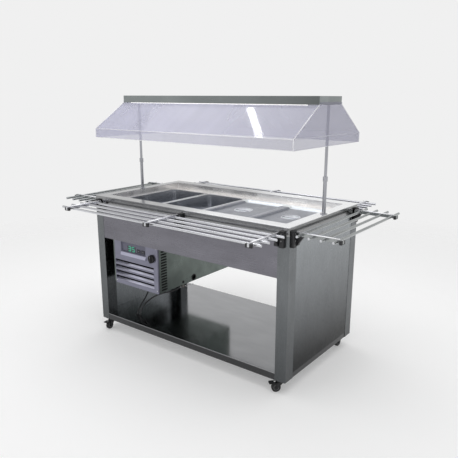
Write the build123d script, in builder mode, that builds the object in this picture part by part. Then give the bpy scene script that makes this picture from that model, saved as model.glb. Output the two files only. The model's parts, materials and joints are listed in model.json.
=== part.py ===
from build123d import *
import os
from math import atan, radians, tan

# Refrigerated buffet cart with a hanging display canopy and folding tray slides.
# Millimetres. +X runs along the cart's length, the customer side faces -Y, +Z is up.
# The origin is on the floor below the middle of the cart. Angles are in degrees.

os.makedirs("parts", exist_ok=True)

# Food pans and the well that holds them
pan_count = 4
pan_width = 324.5
pan_gap = 1.5
pan_length = 530
pan_depth = 100
pan_gauge = 1.2
pan_flange = 14
pan_corner = 14
pan_body_corner = 28
pan_draft_angle = 4
well_end_play = 4
pan_seat_overlap = 9
well_ledge = 57
well_step = 40
basin_depth = 170
basin_end_ledge = 14
well_corner = 4
basin_corner = 30
liner_gauge = 1.5
pan_bar_width = 22
pan_bar_height = 12

# Lids
lid_dish_border = 26
lid_dish_depth = 9
lid_dish_angle = 40
lid_gauge = 1
grip_radius = 53
grip_depth = 16
grip_angle = 25
strap_length = 115
strap_width = 18
strap_gauge = 2

# Worktop
end_rim = 61
side_rim = 72
counter_height = 900
worktop_skirt = 45
sheet = 1.5
body_corner = 6

# Frame and panels
frame_underside = 74
leg_width = 64
leg_depth = 75
leg_foot = 4
panel_recess = 1
shelf_band = 40
end_panel_lift = 30
end_panel_return = 15
apron_drop = 221
apron_return = 14
underside_lift = 14.5

# Well insulation and evaporator
foam_side = 40
foam_end = 25
foam_top_gap = 1.5
coil_tube = 8
coil_runs = 8
coil_pitch = 58
coil_length = 1150
coil_start_from_drain = 91
coil_gap = 0.2
coil_space = 10
coil_bend_relief = 1

# Refrigeration unit
unit_gap = 45
unit_width = 405
unit_height = 303.5
unit_setback = 20
unit_depth = 703
unit_flange = 14
cover_left_strip = 25
cover_depth = 12
cover_top_gap = 2
louvre_count = 4
louvre_pitch = 36
louvre_slot = 12
louvre_knee = 11
louvre_sill = 16
louvre_left_margin = 4
louvre_right_margin = 34
louvre_top_recess = 8
vent_count = 16
vent_pitch = 17.3
vent_length = 36
vent_height = 9
vent_from_cover = 34
vent_sill = 6
rear_vent_count = 9
rear_vent_pitch = 22
rear_vent_length = 280
side_hole_back = 321
side_hole_up = 24
side_hole_radius = 18
small_hole_back = 220
small_hole_up = 19
small_hole_radius = 7

# Thermostat and knob
case_from_left = 170
case_up = 251
case_width = 222
case_height = 68
case_frame = 4
case_dish = 8
case_slope = 4
case_body = 16
display_width = 74
display_height = 34
display_gauge = 2
display_left = 21
display_down = 8
display_proud = 1.5
display_edge = 0.75
button_width = 30
button_height = 22
button_corner = 2
button_edge = 0.6
button_pitch = 38
button_right = 62
button_down = 12
button_proud = 2.5
button_stem = 4
button_gap = 0.4
knob_radius = 25
knob_depth = 17
knob_draft_angle = 4
knob_edge = 2
knob_ridge_width = 11
knob_ridge_height = 7
knob_from_right = 48
knob_up = 215
knob_shaft_radius = 3
knob_gap = 0.4

# Compressor, condenser and fan
compressor_radius = 65
compressor_height = 150
compressor_from_right = 120
compressor_back = 540
compressor_dome = 32
compressor_foot = 6
compressor_foot_length = 156
compressor_foot_width = 130
compressor_foot_corner = 16
condenser_width = 320
condenser_height = 230
condenser_depth = 44
condenser_back = 40
fin_count = 23
fin_gauge = 1
condenser_rows = 5
condenser_row_pitch = 46
condenser_tube = 9
condenser_tube_pitch = 22
fan_radius = 100
fan_hub_radius = 22
fan_hub_depth = 26
fan_blades = 5
fan_blade_width = 62
fan_blade_gauge = 2
fan_blade_angle = 24
fan_back = 125
motor_radius = 38
motor_length = 60
motor_shaft_radius = 4
motor_shaft_in_hub = 20
motor_shaft_end_gap = 2
motor_stand = 50
motor_stand_gauge = 6
motor_stand_back = 18
motor_foot_width = 80
fan_gap = 3

# Drain
drain_radius = 11
drain_wall = 2
drain_from_right = 24
drain_back = 253
drain_clearance = 2
cock_radius = 15
cock_height = 30
cock_spout = 8
lever_length = 66
lever_first_bend = 30
lever_second_bend = 43
lever_drop = 7
lever_wire = 3.5
lever_hub_radius = 8
lever_hub_length = 8
hose_radius = 4.5
hose_bore = 3
hose_bend_share = 0.45
spout_run = 37
grommet_wall = 3.5
grommet_clearance = 1.2
grommet_lip = 3
grommet_height = 3
side_grommet_height = 1.5
spigot_radius = 7
spigot_length = 6

# Canopy posts and telescopic collars
post_from_end = 21.5
lower_post_radius = 10
upper_post_radius = 8
upper_post_wall = 1.5
post_clearance = 0.05
lower_post_top = 1088
lower_post_below = 120
upper_post_overlap = 120
collar_radius = 13
collar_height = 26
collar_edge = 1.5
foot_radius = 20
foot_height = 3
foot_slope_angle = 20
post_plate_width = 24
post_plate_depth = 60
post_plate_gauge = 3

# Light box
box_end_margin = 0.5
box_depth = 240
box_height = 42
box_underside = 1467
box_gauge = 1.2
box_end_plate = 66
lamp_radius = 13
lamp_length = 1180
lamp_edge = 3
lamp_clip_gauge = 3
lamp_clip_width = 39
lamp_clip_inset = 9
lamp_clip_below = 6.5
lamp_clip_gap = 0.3
lamp_drop = 21
lamp_pin_radius = 1.5
lamp_pin_pitch = 13
lamp_pin_length = 6.5
diffuser_gauge = 2

# Canopy sheets
canopy_gauge = 4
canopy_hem = 12
canopy_end_play = 0.5
canopy_reach = 357
canopy_shoulder = 1312
canopy_lip_drop = 52

# Tray slides
slide_bars = 4
slide_bar_radius = 7
slide_bar_wall = 1.2
slide_bar_end_wall = 2.4
slide_first_bar = 37
slide_bar_pitch = 64
slide_drop = 39
long_bar_start = 73
long_bar_end = 52
short_bar_start = 45
short_bar_end = 102
slide_arm_width = 12
slide_arm_height = 18
slide_arm_edge = 1.5
slide_arm_above_bar = 10
slide_arm_start = 6
slide_arm_reach = 258
slide_arm_inset = 57
side_arm_inset = 52
pivot_out = 9.5
pivot_drop = 90
pivot_radius = 3
pivot_clearance = 0.05
pivot_length = 20
pivot_end_gap = 1
leg_hub_radius = 9
leg_top_near = 18
leg_top_far = 52
clamp_knob_radius = 9
clamp_knob_width = 12
bracket_width = 28
bracket_depth = 16
bracket_top_drop = 20
bracket_height = 82
bracket_gap = 0.5
bracket_round = 5
clip_width = 38
clip_length = 14
clip_floor = 3
clip_below_arm_top = 3
clip_corner = 3
bar_vent_radius = 1.5
bar_vent_inset = 7

# Casters
caster_inset_x = 47
caster_inset_y = 40
caster_plate = 44
caster_plate_gauge = 3
wheel_radius = 25
wheel_width = 20
wheel_edge = 3
wheel_bore = 4
wheel_groove_width = 3
wheel_groove_depth = 5
wheel_dish_radius = 16.5
wheel_dish_depth = 2.5
wheel_boss_radius = 7.5
caster_trail = 28
kingpin_radius = 5
kingpin_drop = 14
kingpin_head = 2
kingpin_head_lip = 2
crown_top_gap = 0.3
crown_gauge = 3
crown_underside = 60
race_radius = 15
fork_gap = 2
fork_gauge = 2
fork_eye_radius = 9
fork_crown_inset = 4
axle_head_radius = 6
axle_head_height = 2
running_clearance = 0.05
front_left_heading = 275
front_right_heading = 228
rear_left_heading = 250
rear_right_heading = 260
pedal_gauge = 3
pedal_reach = 68
pedal_plate_start = 39
pedal_corner = 6
pedal_height = 54
pedal_pivot_x = 14
pedal_pivot_radius = 2
pedal_ear_radius = 5
pedal_gap = 0.4

# Fasteners
screw_head_radius = 4
screw_head_height = 2
screw_head_edge = 1.2
screw_side_inset = 9
screw_top_inset = 18

# Sizes and levels that follow from the driving dimensions
pan_pitch = pan_width + pan_gap
well_length = pan_count * pan_pitch + well_end_play
basin_width = pan_length - 2 * pan_seat_overlap
well_width = basin_width + 2 * well_ledge
body_length = well_length + 2 * end_rim
body_depth = well_width + 2 * side_rim
half_length = body_length / 2
half_depth = body_depth / 2
skirt_bottom = counter_height - worktop_skirt
ledge_top = counter_height - well_step
basin_bottom = ledge_top - basin_depth
basin_length = well_length - 2 * basin_end_ledge
shelf_top = frame_underside + shelf_band
apron_bottom = skirt_bottom - apron_drop
underside_top = apron_bottom + underside_lift + sheet
underside_bottom = apron_bottom + underside_lift
leg_inner_x = half_length - leg_width
leg_inner_y = half_depth - leg_depth
panel_face_x = half_length - panel_recess
panel_inner_x = panel_face_x - sheet
apron_face_y = half_depth - panel_recess
apron_inner_y = apron_face_y - sheet

unit_left = -leg_inner_x + unit_gap
unit_right = unit_left + unit_width
unit_bottom = underside_bottom - unit_height
cover_face_y = -half_depth + unit_setback
unit_front_y = cover_face_y + cover_depth
unit_rear_y = cover_face_y + unit_depth
cover_left = unit_left + cover_left_strip
cover_width = unit_right - cover_left
cover_top = underside_bottom - cover_top_gap
louvre_length = cover_width - louvre_left_margin - louvre_right_margin

drain_x = unit_right - drain_from_right
drain_y = cover_face_y + drain_back
post_x = half_length - post_from_end
box_length = 2 * (post_x + post_plate_width / 2 + box_end_margin)


def outer_corner_edges(part, reach_x, reach_y):
    """Upright edges of a part that stand at the given distances from the middle."""
    slack = 0.01
    edges = part.edges().filter_by(Axis.Z)
    return [
        e for e in edges
        if abs(e.center().X) > reach_x - slack and abs(e.center().Y) > reach_y - slack
    ]


def save(piece, label):
    """Label a finished piece and write its STEP file."""
    piece.label = label
    export_step(piece, f"parts/{label}.step")


# Four corner legs, each a box section with a thick foot that takes a caster
with BuildPart() as corner_posts:
    with BuildSketch(Plane.XY.offset(frame_underside)):
        with GridLocations(body_length - leg_width, body_depth - leg_depth, 2, 2):
            Rectangle(leg_width, leg_depth)
    extrude(amount=skirt_bottom - frame_underside)
    fillet(outer_corner_edges(corner_posts.part, half_length, half_depth), radius=body_corner)
    with BuildSketch(Plane.XY.offset(frame_underside + leg_foot)):
        with GridLocations(body_length - leg_width, body_depth - leg_depth, 2, 2):
            RectangleRounded(leg_width - 2 * sheet, leg_depth - 2 * sheet, body_corner - sheet)
    extrude(until=Until.LAST, mode=Mode.SUBTRACT)
save(corner_posts.part, "corner_posts")


def between_legs(half_x, half_y):
    """Plan outline that fills the cart between its legs."""
    with BuildSketch(Plane.XY, mode=Mode.PRIVATE) as plan:
        Rectangle(2 * half_x, 2 * leg_inner_y)
        Rectangle(2 * leg_inner_x, 2 * half_y)
    return plan.sketch


# Routes of the drain hoses: one from the drain cock and one from the unit's spigot
spout_direction = Vector(-0.77, -0.21, -0.6).normalized()
cock_middle = Vector(drain_x, drain_y, unit_bottom - cock_height / 2)
spout_tip = cock_middle + spout_direction * (cock_radius + cock_spout)
well_hose_route = [
    spout_tip,
    spout_tip + spout_direction * spout_run,
    (-318, -139, 270),
    (-372, -162, 254),
    (-414, -196, 233),
    (-440, -236, 204),
    (-452, -272, 172),
    (-456, -290, 136),
    (-456, -290, 84),
]
spigot_spot = (-505, -132)
tray_hose_route = [
    (*spigot_spot, unit_bottom - spigot_length),
    (*spigot_spot, 304),
    (-504, -148, 262),
    (-502, -176, 222),
    (-499, -212, 188),
    (-495, -250, 158),
    (-489, -284, 128),
    (-489, -284, 82),
]
grommet_spots = [(-456, -290), (-489, -284)]

# Bottom shelf, a folded tray that fills the frame between the legs
with BuildPart() as bottom_shelf:
    with BuildSketch(Plane.XY.offset(frame_underside)):
        add(between_legs(panel_inner_x, apron_face_y))
    extrude(amount=shelf_band)
    with BuildSketch(Plane.XY.offset(frame_underside)):
        Rectangle(2 * (panel_inner_x - sheet), 2 * (leg_inner_y - sheet))
        Rectangle(2 * (leg_inner_x - sheet), 2 * (apron_face_y - sheet))
    extrude(amount=shelf_band - sheet, mode=Mode.SUBTRACT)
    with BuildSketch(Plane.XY.offset(shelf_top - sheet)):
        with Locations(grommet_spots):
            Circle(hose_radius + grommet_wall)
    extrude(amount=sheet, mode=Mode.SUBTRACT)
    front_edges = bottom_shelf.edges().filter_by(Axis.X).group_by(Axis.Z)[-1]
    fillet([e for e in front_edges if abs(e.center().Y) > apron_face_y - 0.01], radius=sheet)
save(bottom_shelf.part, "bottom_shelf")

# End panels, one sheet between the legs at each end, folded back against the legs
with BuildPart() as end_panels:
    with BuildSketch(Plane.XY.offset(frame_underside + end_panel_lift)):
        for side in (-1, 1):
            with Locations((side * (panel_face_x - sheet / 2), 0)):
                Rectangle(sheet, 2 * leg_inner_y)
    extrude(amount=skirt_bottom - frame_underside - end_panel_lift)
    with BuildSketch(Plane.XY.offset(shelf_top)):
        for side in (-1, 1):
            with Locations((side * (panel_inner_x - end_panel_return / 2), 0)):
                with GridLocations(0, 2 * leg_inner_y - sheet, 1, 2):
                    Rectangle(end_panel_return, sheet)
    extrude(amount=underside_bottom - shelf_top)
save(end_panels.part, "end_panels")

# Aprons, the deep sheets under the worktop on the two long sides
with BuildPart() as aprons:
    with BuildSketch(Plane.YZ.offset(-leg_inner_x)):
        for side in (-1, 1):
            with Locations((side * (apron_face_y - sheet / 2), (skirt_bottom + apron_bottom) / 2)):
                Rectangle(sheet, apron_drop)
            with Locations((side * (apron_face_y - apron_return / 2), apron_bottom + sheet / 2)):
                Rectangle(apron_return, sheet)
    extrude(amount=2 * leg_inner_x)
save(aprons.part, "aprons")

# Underside panel that closes the well compartment
with BuildPart() as underside_panel:
    with BuildSketch(Plane.XY.offset(underside_bottom)):
        add(between_legs(panel_inner_x, apron_inner_y))
        with Locations((drain_x, drain_y)):
            Circle(drain_radius + drain_clearance, mode=Mode.SUBTRACT)
    extrude(amount=sheet)
save(underside_panel.part, "underside_panel")

# Worktop frame with its folded skirt and the well opening
with BuildPart() as worktop:
    with BuildSketch(Plane.XY.offset(skirt_bottom)):
        RectangleRounded(body_length, body_depth, body_corner)
    extrude(amount=worktop_skirt)
    with BuildSketch(Plane.XY.offset(skirt_bottom)):
        RectangleRounded(body_length - 2 * sheet, body_depth - 2 * sheet, body_corner - sheet)
    extrude(amount=worktop_skirt - sheet, mode=Mode.SUBTRACT)
    with BuildSketch(Plane.XY.offset(counter_height - sheet)):
        RectangleRounded(well_length, well_width, well_corner)
        with GridLocations(2 * post_x, 0, 2, 1):
            Circle(lower_post_radius)
    extrude(amount=sheet, mode=Mode.SUBTRACT)
    rim_edges = worktop.faces().sort_by(Axis.Z)[-1].outer_wire().edges()
    fillet(rim_edges, radius=sheet)
save(worktop.part, "worktop")

# Well liner: a stepped basin whose ledge carries the pans
with BuildPart() as well_liner:
    with BuildSketch(Plane.XY.offset(ledge_top - liner_gauge)):
        RectangleRounded(well_length + 2 * liner_gauge, well_width + 2 * liner_gauge,
                         well_corner + liner_gauge)
    extrude(amount=well_step + liner_gauge - sheet)
    with BuildSketch(Plane.XY.offset(basin_bottom - liner_gauge)):
        RectangleRounded(basin_length + 2 * liner_gauge, basin_width + 2 * liner_gauge,
                         basin_corner + liner_gauge)
    extrude(amount=basin_depth)
    with BuildSketch(Plane.XY.offset(ledge_top)):
        RectangleRounded(well_length, well_width, well_corner)
    extrude(amount=well_step, mode=Mode.SUBTRACT)
    with BuildSketch(Plane.XY.offset(basin_bottom)):
        RectangleRounded(basin_length, basin_width, basin_corner)
    extrude(amount=basin_depth + liner_gauge, mode=Mode.SUBTRACT)
    with BuildSketch(Plane.XY.offset(basin_bottom - liner_gauge)):
        with Locations((drain_x, drain_y)):
            Circle(drain_radius)
    extrude(amount=liner_gauge, mode=Mode.SUBTRACT)
save(well_liner.part, "well_liner")

# Foam insulation round the basin, with room below it for the evaporator
with BuildPart() as insulation:
    with BuildSketch(Plane.XY.offset(underside_top)):
        Rectangle(basin_length + 2 * liner_gauge + 2 * foam_end,
                  basin_width + 2 * liner_gauge + 2 * foam_side)
    extrude(amount=ledge_top - liner_gauge - foam_top_gap - underside_top)
    with BuildSketch(Plane.XY.offset(basin_bottom - liner_gauge - coil_space)):
        RectangleRounded(basin_length + 2 * liner_gauge, basin_width + 2 * liner_gauge,
                         basin_corner + liner_gauge)
    extrude(until=Until.LAST, mode=Mode.SUBTRACT)
    with BuildSketch(Plane.XY.offset(underside_top)):
        with Locations((drain_x, drain_y)):
            Circle(drain_radius + drain_clearance)
    extrude(amount=ledge_top - underside_top, mode=Mode.SUBTRACT)
save(insulation.part, "insulation")

# Evaporator, one tube that runs to and fro under the basin
coil_level = basin_bottom - liner_gauge - coil_gap - coil_tube / 2
coil_points = []
for run in range(coil_runs):
    run_y = drain_y - coil_start_from_drain + run * coil_pitch
    ends = (-coil_length / 2, coil_length / 2)
    for end_x in ends if run % 2 == 0 else reversed(ends):
        coil_points.append((end_x, run_y, coil_level))
bend_radius = coil_pitch / 2 - coil_bend_relief
with BuildPart() as evaporator_coil:
    with BuildLine() as coil_path:
        FilletPolyline(*coil_points, radius=bend_radius)
    with BuildSketch(Plane(origin=coil_path.line @ 0, z_dir=coil_path.line % 0)):
        Circle(coil_tube / 2)
    sweep(path=coil_path.line)
    with BuildSketch(Plane.XY.offset(basin_bottom - liner_gauge - coil_space)):
        with Locations((drain_x, drain_y)):
            Circle(drain_radius + drain_clearance)
    extrude(amount=coil_space, mode=Mode.SUBTRACT)
save(evaporator_coil.part, "evaporator_coil")

# Cross bars between the pans, flush with the ledge
with BuildPart() as pan_bars:
    with BuildSketch(Plane.XZ.offset(-basin_width / 2)):
        with Locations((0, ledge_top - pan_bar_height / 2)):
            with GridLocations(pan_pitch, 0, pan_count - 1, 1):
                Rectangle(pan_bar_width, pan_bar_height)
        with Locations((0, ledge_top - pan_bar_height / 2 - liner_gauge)):
            with GridLocations(pan_pitch, 0, pan_count - 1, 1):
                Rectangle(pan_bar_width - 2 * liner_gauge, pan_bar_height, mode=Mode.SUBTRACT)
    extrude(amount=basin_width)
save(pan_bars.part, "pan_bars")

# Refrigeration unit housing, a sheet box hung under the well
with BuildPart() as unit_housing:
    unit_middle_x = (unit_left + unit_right) / 2
    unit_middle_y = (unit_front_y + unit_rear_y) / 2
    unit_length = unit_rear_y - unit_front_y
    with BuildSketch(Plane.XY.offset(unit_bottom)):
        with Locations((unit_middle_x, unit_middle_y)):
            Rectangle(unit_width, unit_length)
    extrude(amount=unit_height)
    with BuildSketch(Plane.XY.offset(unit_bottom + sheet)):
        with Locations((unit_middle_x, unit_middle_y)):
            Rectangle(unit_width - 2 * sheet, unit_length - 2 * sheet)
    extrude(amount=unit_height, mode=Mode.SUBTRACT)
    with BuildSketch(Plane.XZ.offset(-unit_front_y)):
        with Locations((unit_middle_x, unit_bottom + unit_height / 2)):
            Rectangle(unit_width - 2 * unit_flange, unit_height - 2 * unit_flange)
    extrude(amount=-2 * sheet, mode=Mode.SUBTRACT)
    with BuildSketch(Plane.YZ.offset(unit_right)):
        vent_middle = unit_bottom + sheet + vent_sill + (vent_count * vent_pitch) / 2
        with Locations((cover_face_y + vent_from_cover + vent_length / 2, vent_middle)):
            with GridLocations(0, vent_pitch, 1, vent_count):
                Rectangle(vent_length, vent_height)
        with Locations((cover_face_y + side_hole_back, unit_bottom + side_hole_up)):
            Circle(side_hole_radius)
        with Locations((cover_face_y + small_hole_back, unit_bottom + small_hole_up)):
            Circle(small_hole_radius)
    extrude(amount=-2 * sheet, mode=Mode.SUBTRACT)
    with BuildSketch(Plane.XZ.offset(-unit_rear_y)):
        with Locations((unit_middle_x, unit_bottom + unit_height / 2)):
            with GridLocations(0, rear_vent_pitch, 1, rear_vent_count):
                SlotOverall(rear_vent_length, vent_height)
    extrude(amount=2 * sheet, mode=Mode.SUBTRACT)
    with BuildSketch(Plane.XY.offset(unit_bottom)):
        with Locations(spigot_spot):
            Circle(spigot_radius)
    extrude(amount=-spigot_length)
    with BuildSketch(Plane.XY.offset(unit_bottom - spigot_length)):
        with Locations(spigot_spot):
            Circle(hose_bore)
    extrude(amount=spigot_length + sheet, mode=Mode.SUBTRACT)
    with BuildSketch(Plane.XY.offset(unit_bottom)):
        with Locations((drain_x, drain_y)):
            Circle(drain_radius)
    extrude(amount=sheet, mode=Mode.SUBTRACT)
save(unit_housing.part, "unit_housing")

# Louvred front cover of the unit, with openings for the thermostat and the knob
case_x = cover_left + case_from_left
case_z = unit_bottom + case_up
knob_x = unit_right - knob_from_right
knob_z = unit_bottom + knob_up
louvre_x = cover_left + louvre_left_margin + louvre_length / 2
louvre_window = louvre_count * louvre_pitch - louvre_slot
louvre_window_z = unit_bottom + louvre_sill + (louvre_window + louvre_slot) / 2
cover_z = (unit_bottom + cover_top) / 2
cover_x = cover_left + cover_width / 2
with BuildPart() as unit_front_panel:
    with BuildSketch(Plane.XZ.offset(-cover_face_y)):
        with Locations((cover_x, cover_z)):
            Rectangle(cover_width, cover_top - unit_bottom)
    extrude(amount=-cover_depth)
    with BuildSketch(Plane.XZ.offset(-cover_face_y - sheet)):
        with Locations((cover_x, cover_z)):
            Rectangle(cover_width - 2 * sheet, cover_top - unit_bottom - 2 * sheet)
    extrude(amount=-cover_depth, mode=Mode.SUBTRACT)
    with BuildSketch(Plane.XZ.offset(-cover_face_y)):
        with Locations((louvre_x, louvre_window_z)):
            Rectangle(louvre_length, louvre_window + louvre_slot)
        with Locations((case_x, case_z)):
            Rectangle(case_width, case_height)
        with Locations((knob_x, knob_z)):
            Circle(knob_shaft_radius + running_clearance)
    extrude(amount=-sheet, mode=Mode.SUBTRACT)
    with BuildSketch(Plane.YZ.offset(louvre_x - louvre_length / 2 - sheet)):
        for blade in range(louvre_count):
            foot_z = unit_bottom + louvre_sill + blade * louvre_pitch
            head_z = foot_z + louvre_pitch - louvre_slot
            knee_z = foot_z + louvre_knee
            head_y = cover_face_y + louvre_top_recess
            with BuildLine():
                Polyline(
                    (cover_face_y, foot_z),
                    (cover_face_y, knee_z),
                    (head_y, head_z),
                    (head_y + sheet, head_z),
                    (cover_face_y + sheet, knee_z),
                    (cover_face_y + sheet, foot_z),
                    close=True,
                )
            make_face()
    extrude(amount=louvre_length + 2 * sheet)
    with BuildSketch(Plane.YZ.offset(louvre_x - louvre_length / 2 - sheet)):
        with Locations((cover_face_y + cover_depth / 2, louvre_window_z)):
            Rectangle(cover_depth, louvre_window + louvre_slot)
    extrude(amount=sheet)
    with BuildSketch(Plane.YZ.offset(louvre_x + louvre_length / 2)):
        with Locations((cover_face_y + cover_depth / 2, louvre_window_z)):
            Rectangle(cover_depth, louvre_window + louvre_slot)
    extrude(amount=sheet)
save(unit_front_panel.part, "unit_front_panel")

# Thermostat case, a moulded dish with a frame that lies on the cover
display_x = case_x - display_left
display_z = case_z - display_down
buttons_x = case_x + button_right
buttons_z = case_z - button_down
dish_y = cover_face_y + case_dish
with BuildPart() as thermostat_case:
    with BuildSketch(Plane.XZ.offset(-cover_face_y)):
        with Locations((case_x, case_z)):
            Rectangle(case_width, case_height)
    extrude(amount=-case_body)
    with BuildSketch(Plane.XZ.offset(-cover_face_y)):
        with Locations((case_x, case_z)):
            Rectangle(case_width - 2 * case_frame, case_height - 2 * case_frame)
    with BuildSketch(Plane.XZ.offset(-dish_y)):
        with Locations((case_x, case_z)):
            Rectangle(case_width - 2 * case_frame - 2 * case_slope,
                      case_height - 2 * case_frame - 2 * case_slope)
    loft(mode=Mode.SUBTRACT)
    with BuildSketch(Plane.XZ.offset(-dish_y)):
        with Locations((display_x, display_z)):
            Rectangle(display_width, display_height)
    extrude(amount=-display_gauge, mode=Mode.SUBTRACT)
    with BuildSketch(Plane.XZ.offset(-dish_y)):
        with Locations((buttons_x, buttons_z)):
            with GridLocations(button_pitch, 0, 2, 1):
                RectangleRounded(button_width + 2 * button_gap, button_height + 2 * button_gap,
                                 button_corner + button_gap)
    extrude(amount=-case_body, mode=Mode.SUBTRACT)
save(thermostat_case.part, "thermostat_case")

# Display window, let into the dish
with BuildPart() as thermostat_display:
    with BuildSketch(Plane.XZ.offset(-dish_y - display_gauge)):
        with Locations((display_x, display_z)):
            Rectangle(display_width, display_height)
    extrude(amount=display_gauge + display_proud)
    front = thermostat_display.faces().sort_by(Axis.Y)[0]
    chamfer(front.edges(), length=display_edge)
save(thermostat_display.part, "thermostat_display")


def make_button(offset_x):
    """One push button with a stem that stops short of the case's back."""
    with BuildPart() as button:
        with BuildSketch(Plane.XZ.offset(-dish_y + button_proud)):
            with Locations((buttons_x + offset_x, buttons_z)):
                RectangleRounded(button_width, button_height, button_corner)
        extrude(amount=-button_proud - button_stem)
        top = button.faces().sort_by(Axis.Y)[0]
        fillet(top.edges(), radius=button_edge)
    return button.part


save(make_button(-button_pitch / 2), "button_down")
save(make_button(button_pitch / 2), "button_up")

# Round control knob with a grip ridge and a shaft through the cover
with BuildPart() as control_knob:
    with BuildSketch(Plane.XZ.offset(-cover_face_y + knob_gap)):
        with Locations((knob_x, knob_z)):
            Circle(knob_radius)
    extrude(amount=knob_depth, taper=knob_draft_angle)
    knob_front = control_knob.faces().sort_by(Axis.Y)[0]
    fillet(knob_front.edges(), radius=knob_edge)
    with BuildSketch(Plane.XZ.offset(-cover_face_y + knob_gap + knob_depth - knob_ridge_height)):
        with Locations((knob_x, knob_z)):
            with GridLocations(knob_ridge_width + knob_radius, 0, 2, 1):
                Rectangle(knob_radius, 2 * knob_radius)
    extrude(amount=knob_ridge_height, mode=Mode.SUBTRACT)
    with BuildSketch(Plane.XZ.offset(-cover_face_y + knob_gap)):
        with Locations((knob_x, knob_z)):
            Circle(knob_shaft_radius)
    extrude(amount=-cover_depth)
save(control_knob.part, "control_knob")

# Hermetic compressor on its foot plate
compressor_x = unit_right - compressor_from_right
compressor_y = cover_face_y + compressor_back
unit_floor = unit_bottom + sheet
with BuildPart() as compressor:
    with BuildSketch(Plane.XY.offset(unit_floor)):
        with Locations((compressor_x, compressor_y)):
            RectangleRounded(compressor_foot_length, compressor_foot_width, compressor_foot_corner)
    extrude(amount=compressor_foot)
    with BuildSketch(Plane.XY.offset(unit_floor + compressor_foot)):
        with Locations((compressor_x, compressor_y)):
            Circle(compressor_radius)
    extrude(amount=compressor_height)
    fillet(compressor.faces().sort_by(Axis.Z)[-1].edges(), radius=compressor_dome)
save(compressor.part, "compressor")

# Condenser: fins threaded on tubes, behind the louvres
condenser_x = louvre_x
condenser_y = cover_face_y + condenser_back + condenser_depth / 2
condenser_z = unit_floor + condenser_height / 2
fin_pitch = (condenser_width - fin_gauge) / (fin_count - 1)
with BuildPart() as condenser_coil:
    with BuildSketch(Plane.YZ.offset(condenser_x - condenser_width / 2)):
        with Locations((condenser_y, condenser_z)):
            Rectangle(condenser_depth, condenser_height)
    extrude(amount=fin_gauge)
    fin = condenser_coil.part
    for place in range(1, fin_count):
        add(fin.moved(Location((place * fin_pitch, 0, 0))))
    with BuildSketch(Plane.YZ.offset(condenser_x - condenser_width / 2)):
        with Locations((condenser_y, condenser_z)):
            with GridLocations(condenser_tube_pitch, condenser_row_pitch, 2, condenser_rows):
                Circle(condenser_tube / 2)
    extrude(amount=condenser_width)
save(condenser_coil.part, "condenser_coil")

# Fan motor on a stand that rises from the unit's floor
fan_x = condenser_x
fan_y = cover_face_y + fan_back
fan_z = unit_floor + condenser_height / 2
motor_y = fan_y + fan_hub_depth / 2 + fan_gap
with BuildPart() as fan_motor:
    with BuildSketch(Plane.XZ.offset(-motor_y)):
        with Locations((fan_x, fan_z)):
            Circle(motor_radius)
    extrude(amount=-motor_length)
    with BuildSketch(Plane.XZ.offset(-motor_y)):
        with Locations((fan_x, fan_z)):
            Circle(motor_shaft_radius)
    extrude(amount=fan_gap + motor_shaft_in_hub)
    with BuildSketch(Plane.XZ.offset(-motor_y - motor_stand_back)):
        with Locations((fan_x, (unit_floor + fan_z) / 2)):
            Rectangle(motor_stand, fan_z - unit_floor)
    extrude(amount=-motor_stand_gauge)
    with BuildSketch(Plane.XY.offset(unit_floor)):
        with Locations((fan_x, motor_y + motor_length / 2)):
            Rectangle(motor_foot_width, motor_length)
    extrude(amount=sheet)
save(fan_motor.part, "fan_motor")

# Condenser fan, pitched blades on a hub that runs on the motor's shaft
with BuildPart() as condenser_fan:
    with BuildSketch(Plane.XZ.offset(-fan_y - fan_hub_depth / 2)):
        Circle(fan_hub_radius)
    extrude(amount=fan_hub_depth)
    with BuildSketch(Plane.XY.offset(fan_hub_radius / 2)) as blade_root:
        with Locations(Location((0, fan_y, 0), (0, 0, fan_blade_angle))):
            Rectangle(fan_blade_width, fan_blade_gauge)
    blade = extrude(amount=fan_radius - fan_hub_radius / 2, mode=Mode.PRIVATE)
    hub_axis = Axis((0, fan_y, 0), (0, 1, 0))
    for turn in range(fan_blades):
        add(blade.rotate(hub_axis, turn * 360 / fan_blades))
    with BuildSketch(Plane.XZ.offset(-fan_y - fan_hub_depth / 2)):
        Circle(motor_shaft_radius + running_clearance)
    extrude(amount=motor_shaft_in_hub + motor_shaft_end_gap, mode=Mode.SUBTRACT)
save(condenser_fan.part.moved(Location((fan_x, 0, fan_z))), "condenser_fan")

# Drain cock: a pipe from the basin's floor down through the unit, and a valve body
cock_top = unit_bottom
with BuildPart() as drain_cock:
    with BuildSketch(Plane.XY.offset(cock_top)):
        with Locations((drain_x, drain_y)):
            Circle(drain_radius)
            Circle(drain_radius - drain_wall, mode=Mode.SUBTRACT)
    extrude(amount=basin_bottom - cock_top)
    with BuildSketch(Plane.XY.offset(cock_top)):
        with Locations((drain_x, drain_y)):
            Circle(cock_radius)
    extrude(amount=-cock_height)
    fillet(drain_cock.faces().sort_by(Axis.Z)[0].edges(), radius=drain_wall)
    with BuildSketch(Plane(origin=cock_middle, z_dir=spout_direction)):
        Circle(hose_radius + drain_wall)
    extrude(amount=cock_radius + cock_spout)
    with BuildSketch(Plane.YZ.offset(drain_x)):
        with Locations((drain_y, cock_top - cock_height / 2)):
            Circle(lever_hub_radius - drain_wall)
    extrude(amount=cock_radius + lever_hub_length)
    with BuildSketch(Plane(origin=cock_middle, z_dir=spout_direction)):
        Circle(hose_bore)
    extrude(amount=cock_radius + cock_spout, mode=Mode.SUBTRACT)
    with BuildSketch(Plane.XY.offset(cock_top - cock_height / 2)):
        with Locations((drain_x, drain_y)):
            Circle(hose_bore)
    extrude(amount=cock_height / 2, mode=Mode.SUBTRACT)
save(drain_cock.part, "drain_cock")

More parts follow.
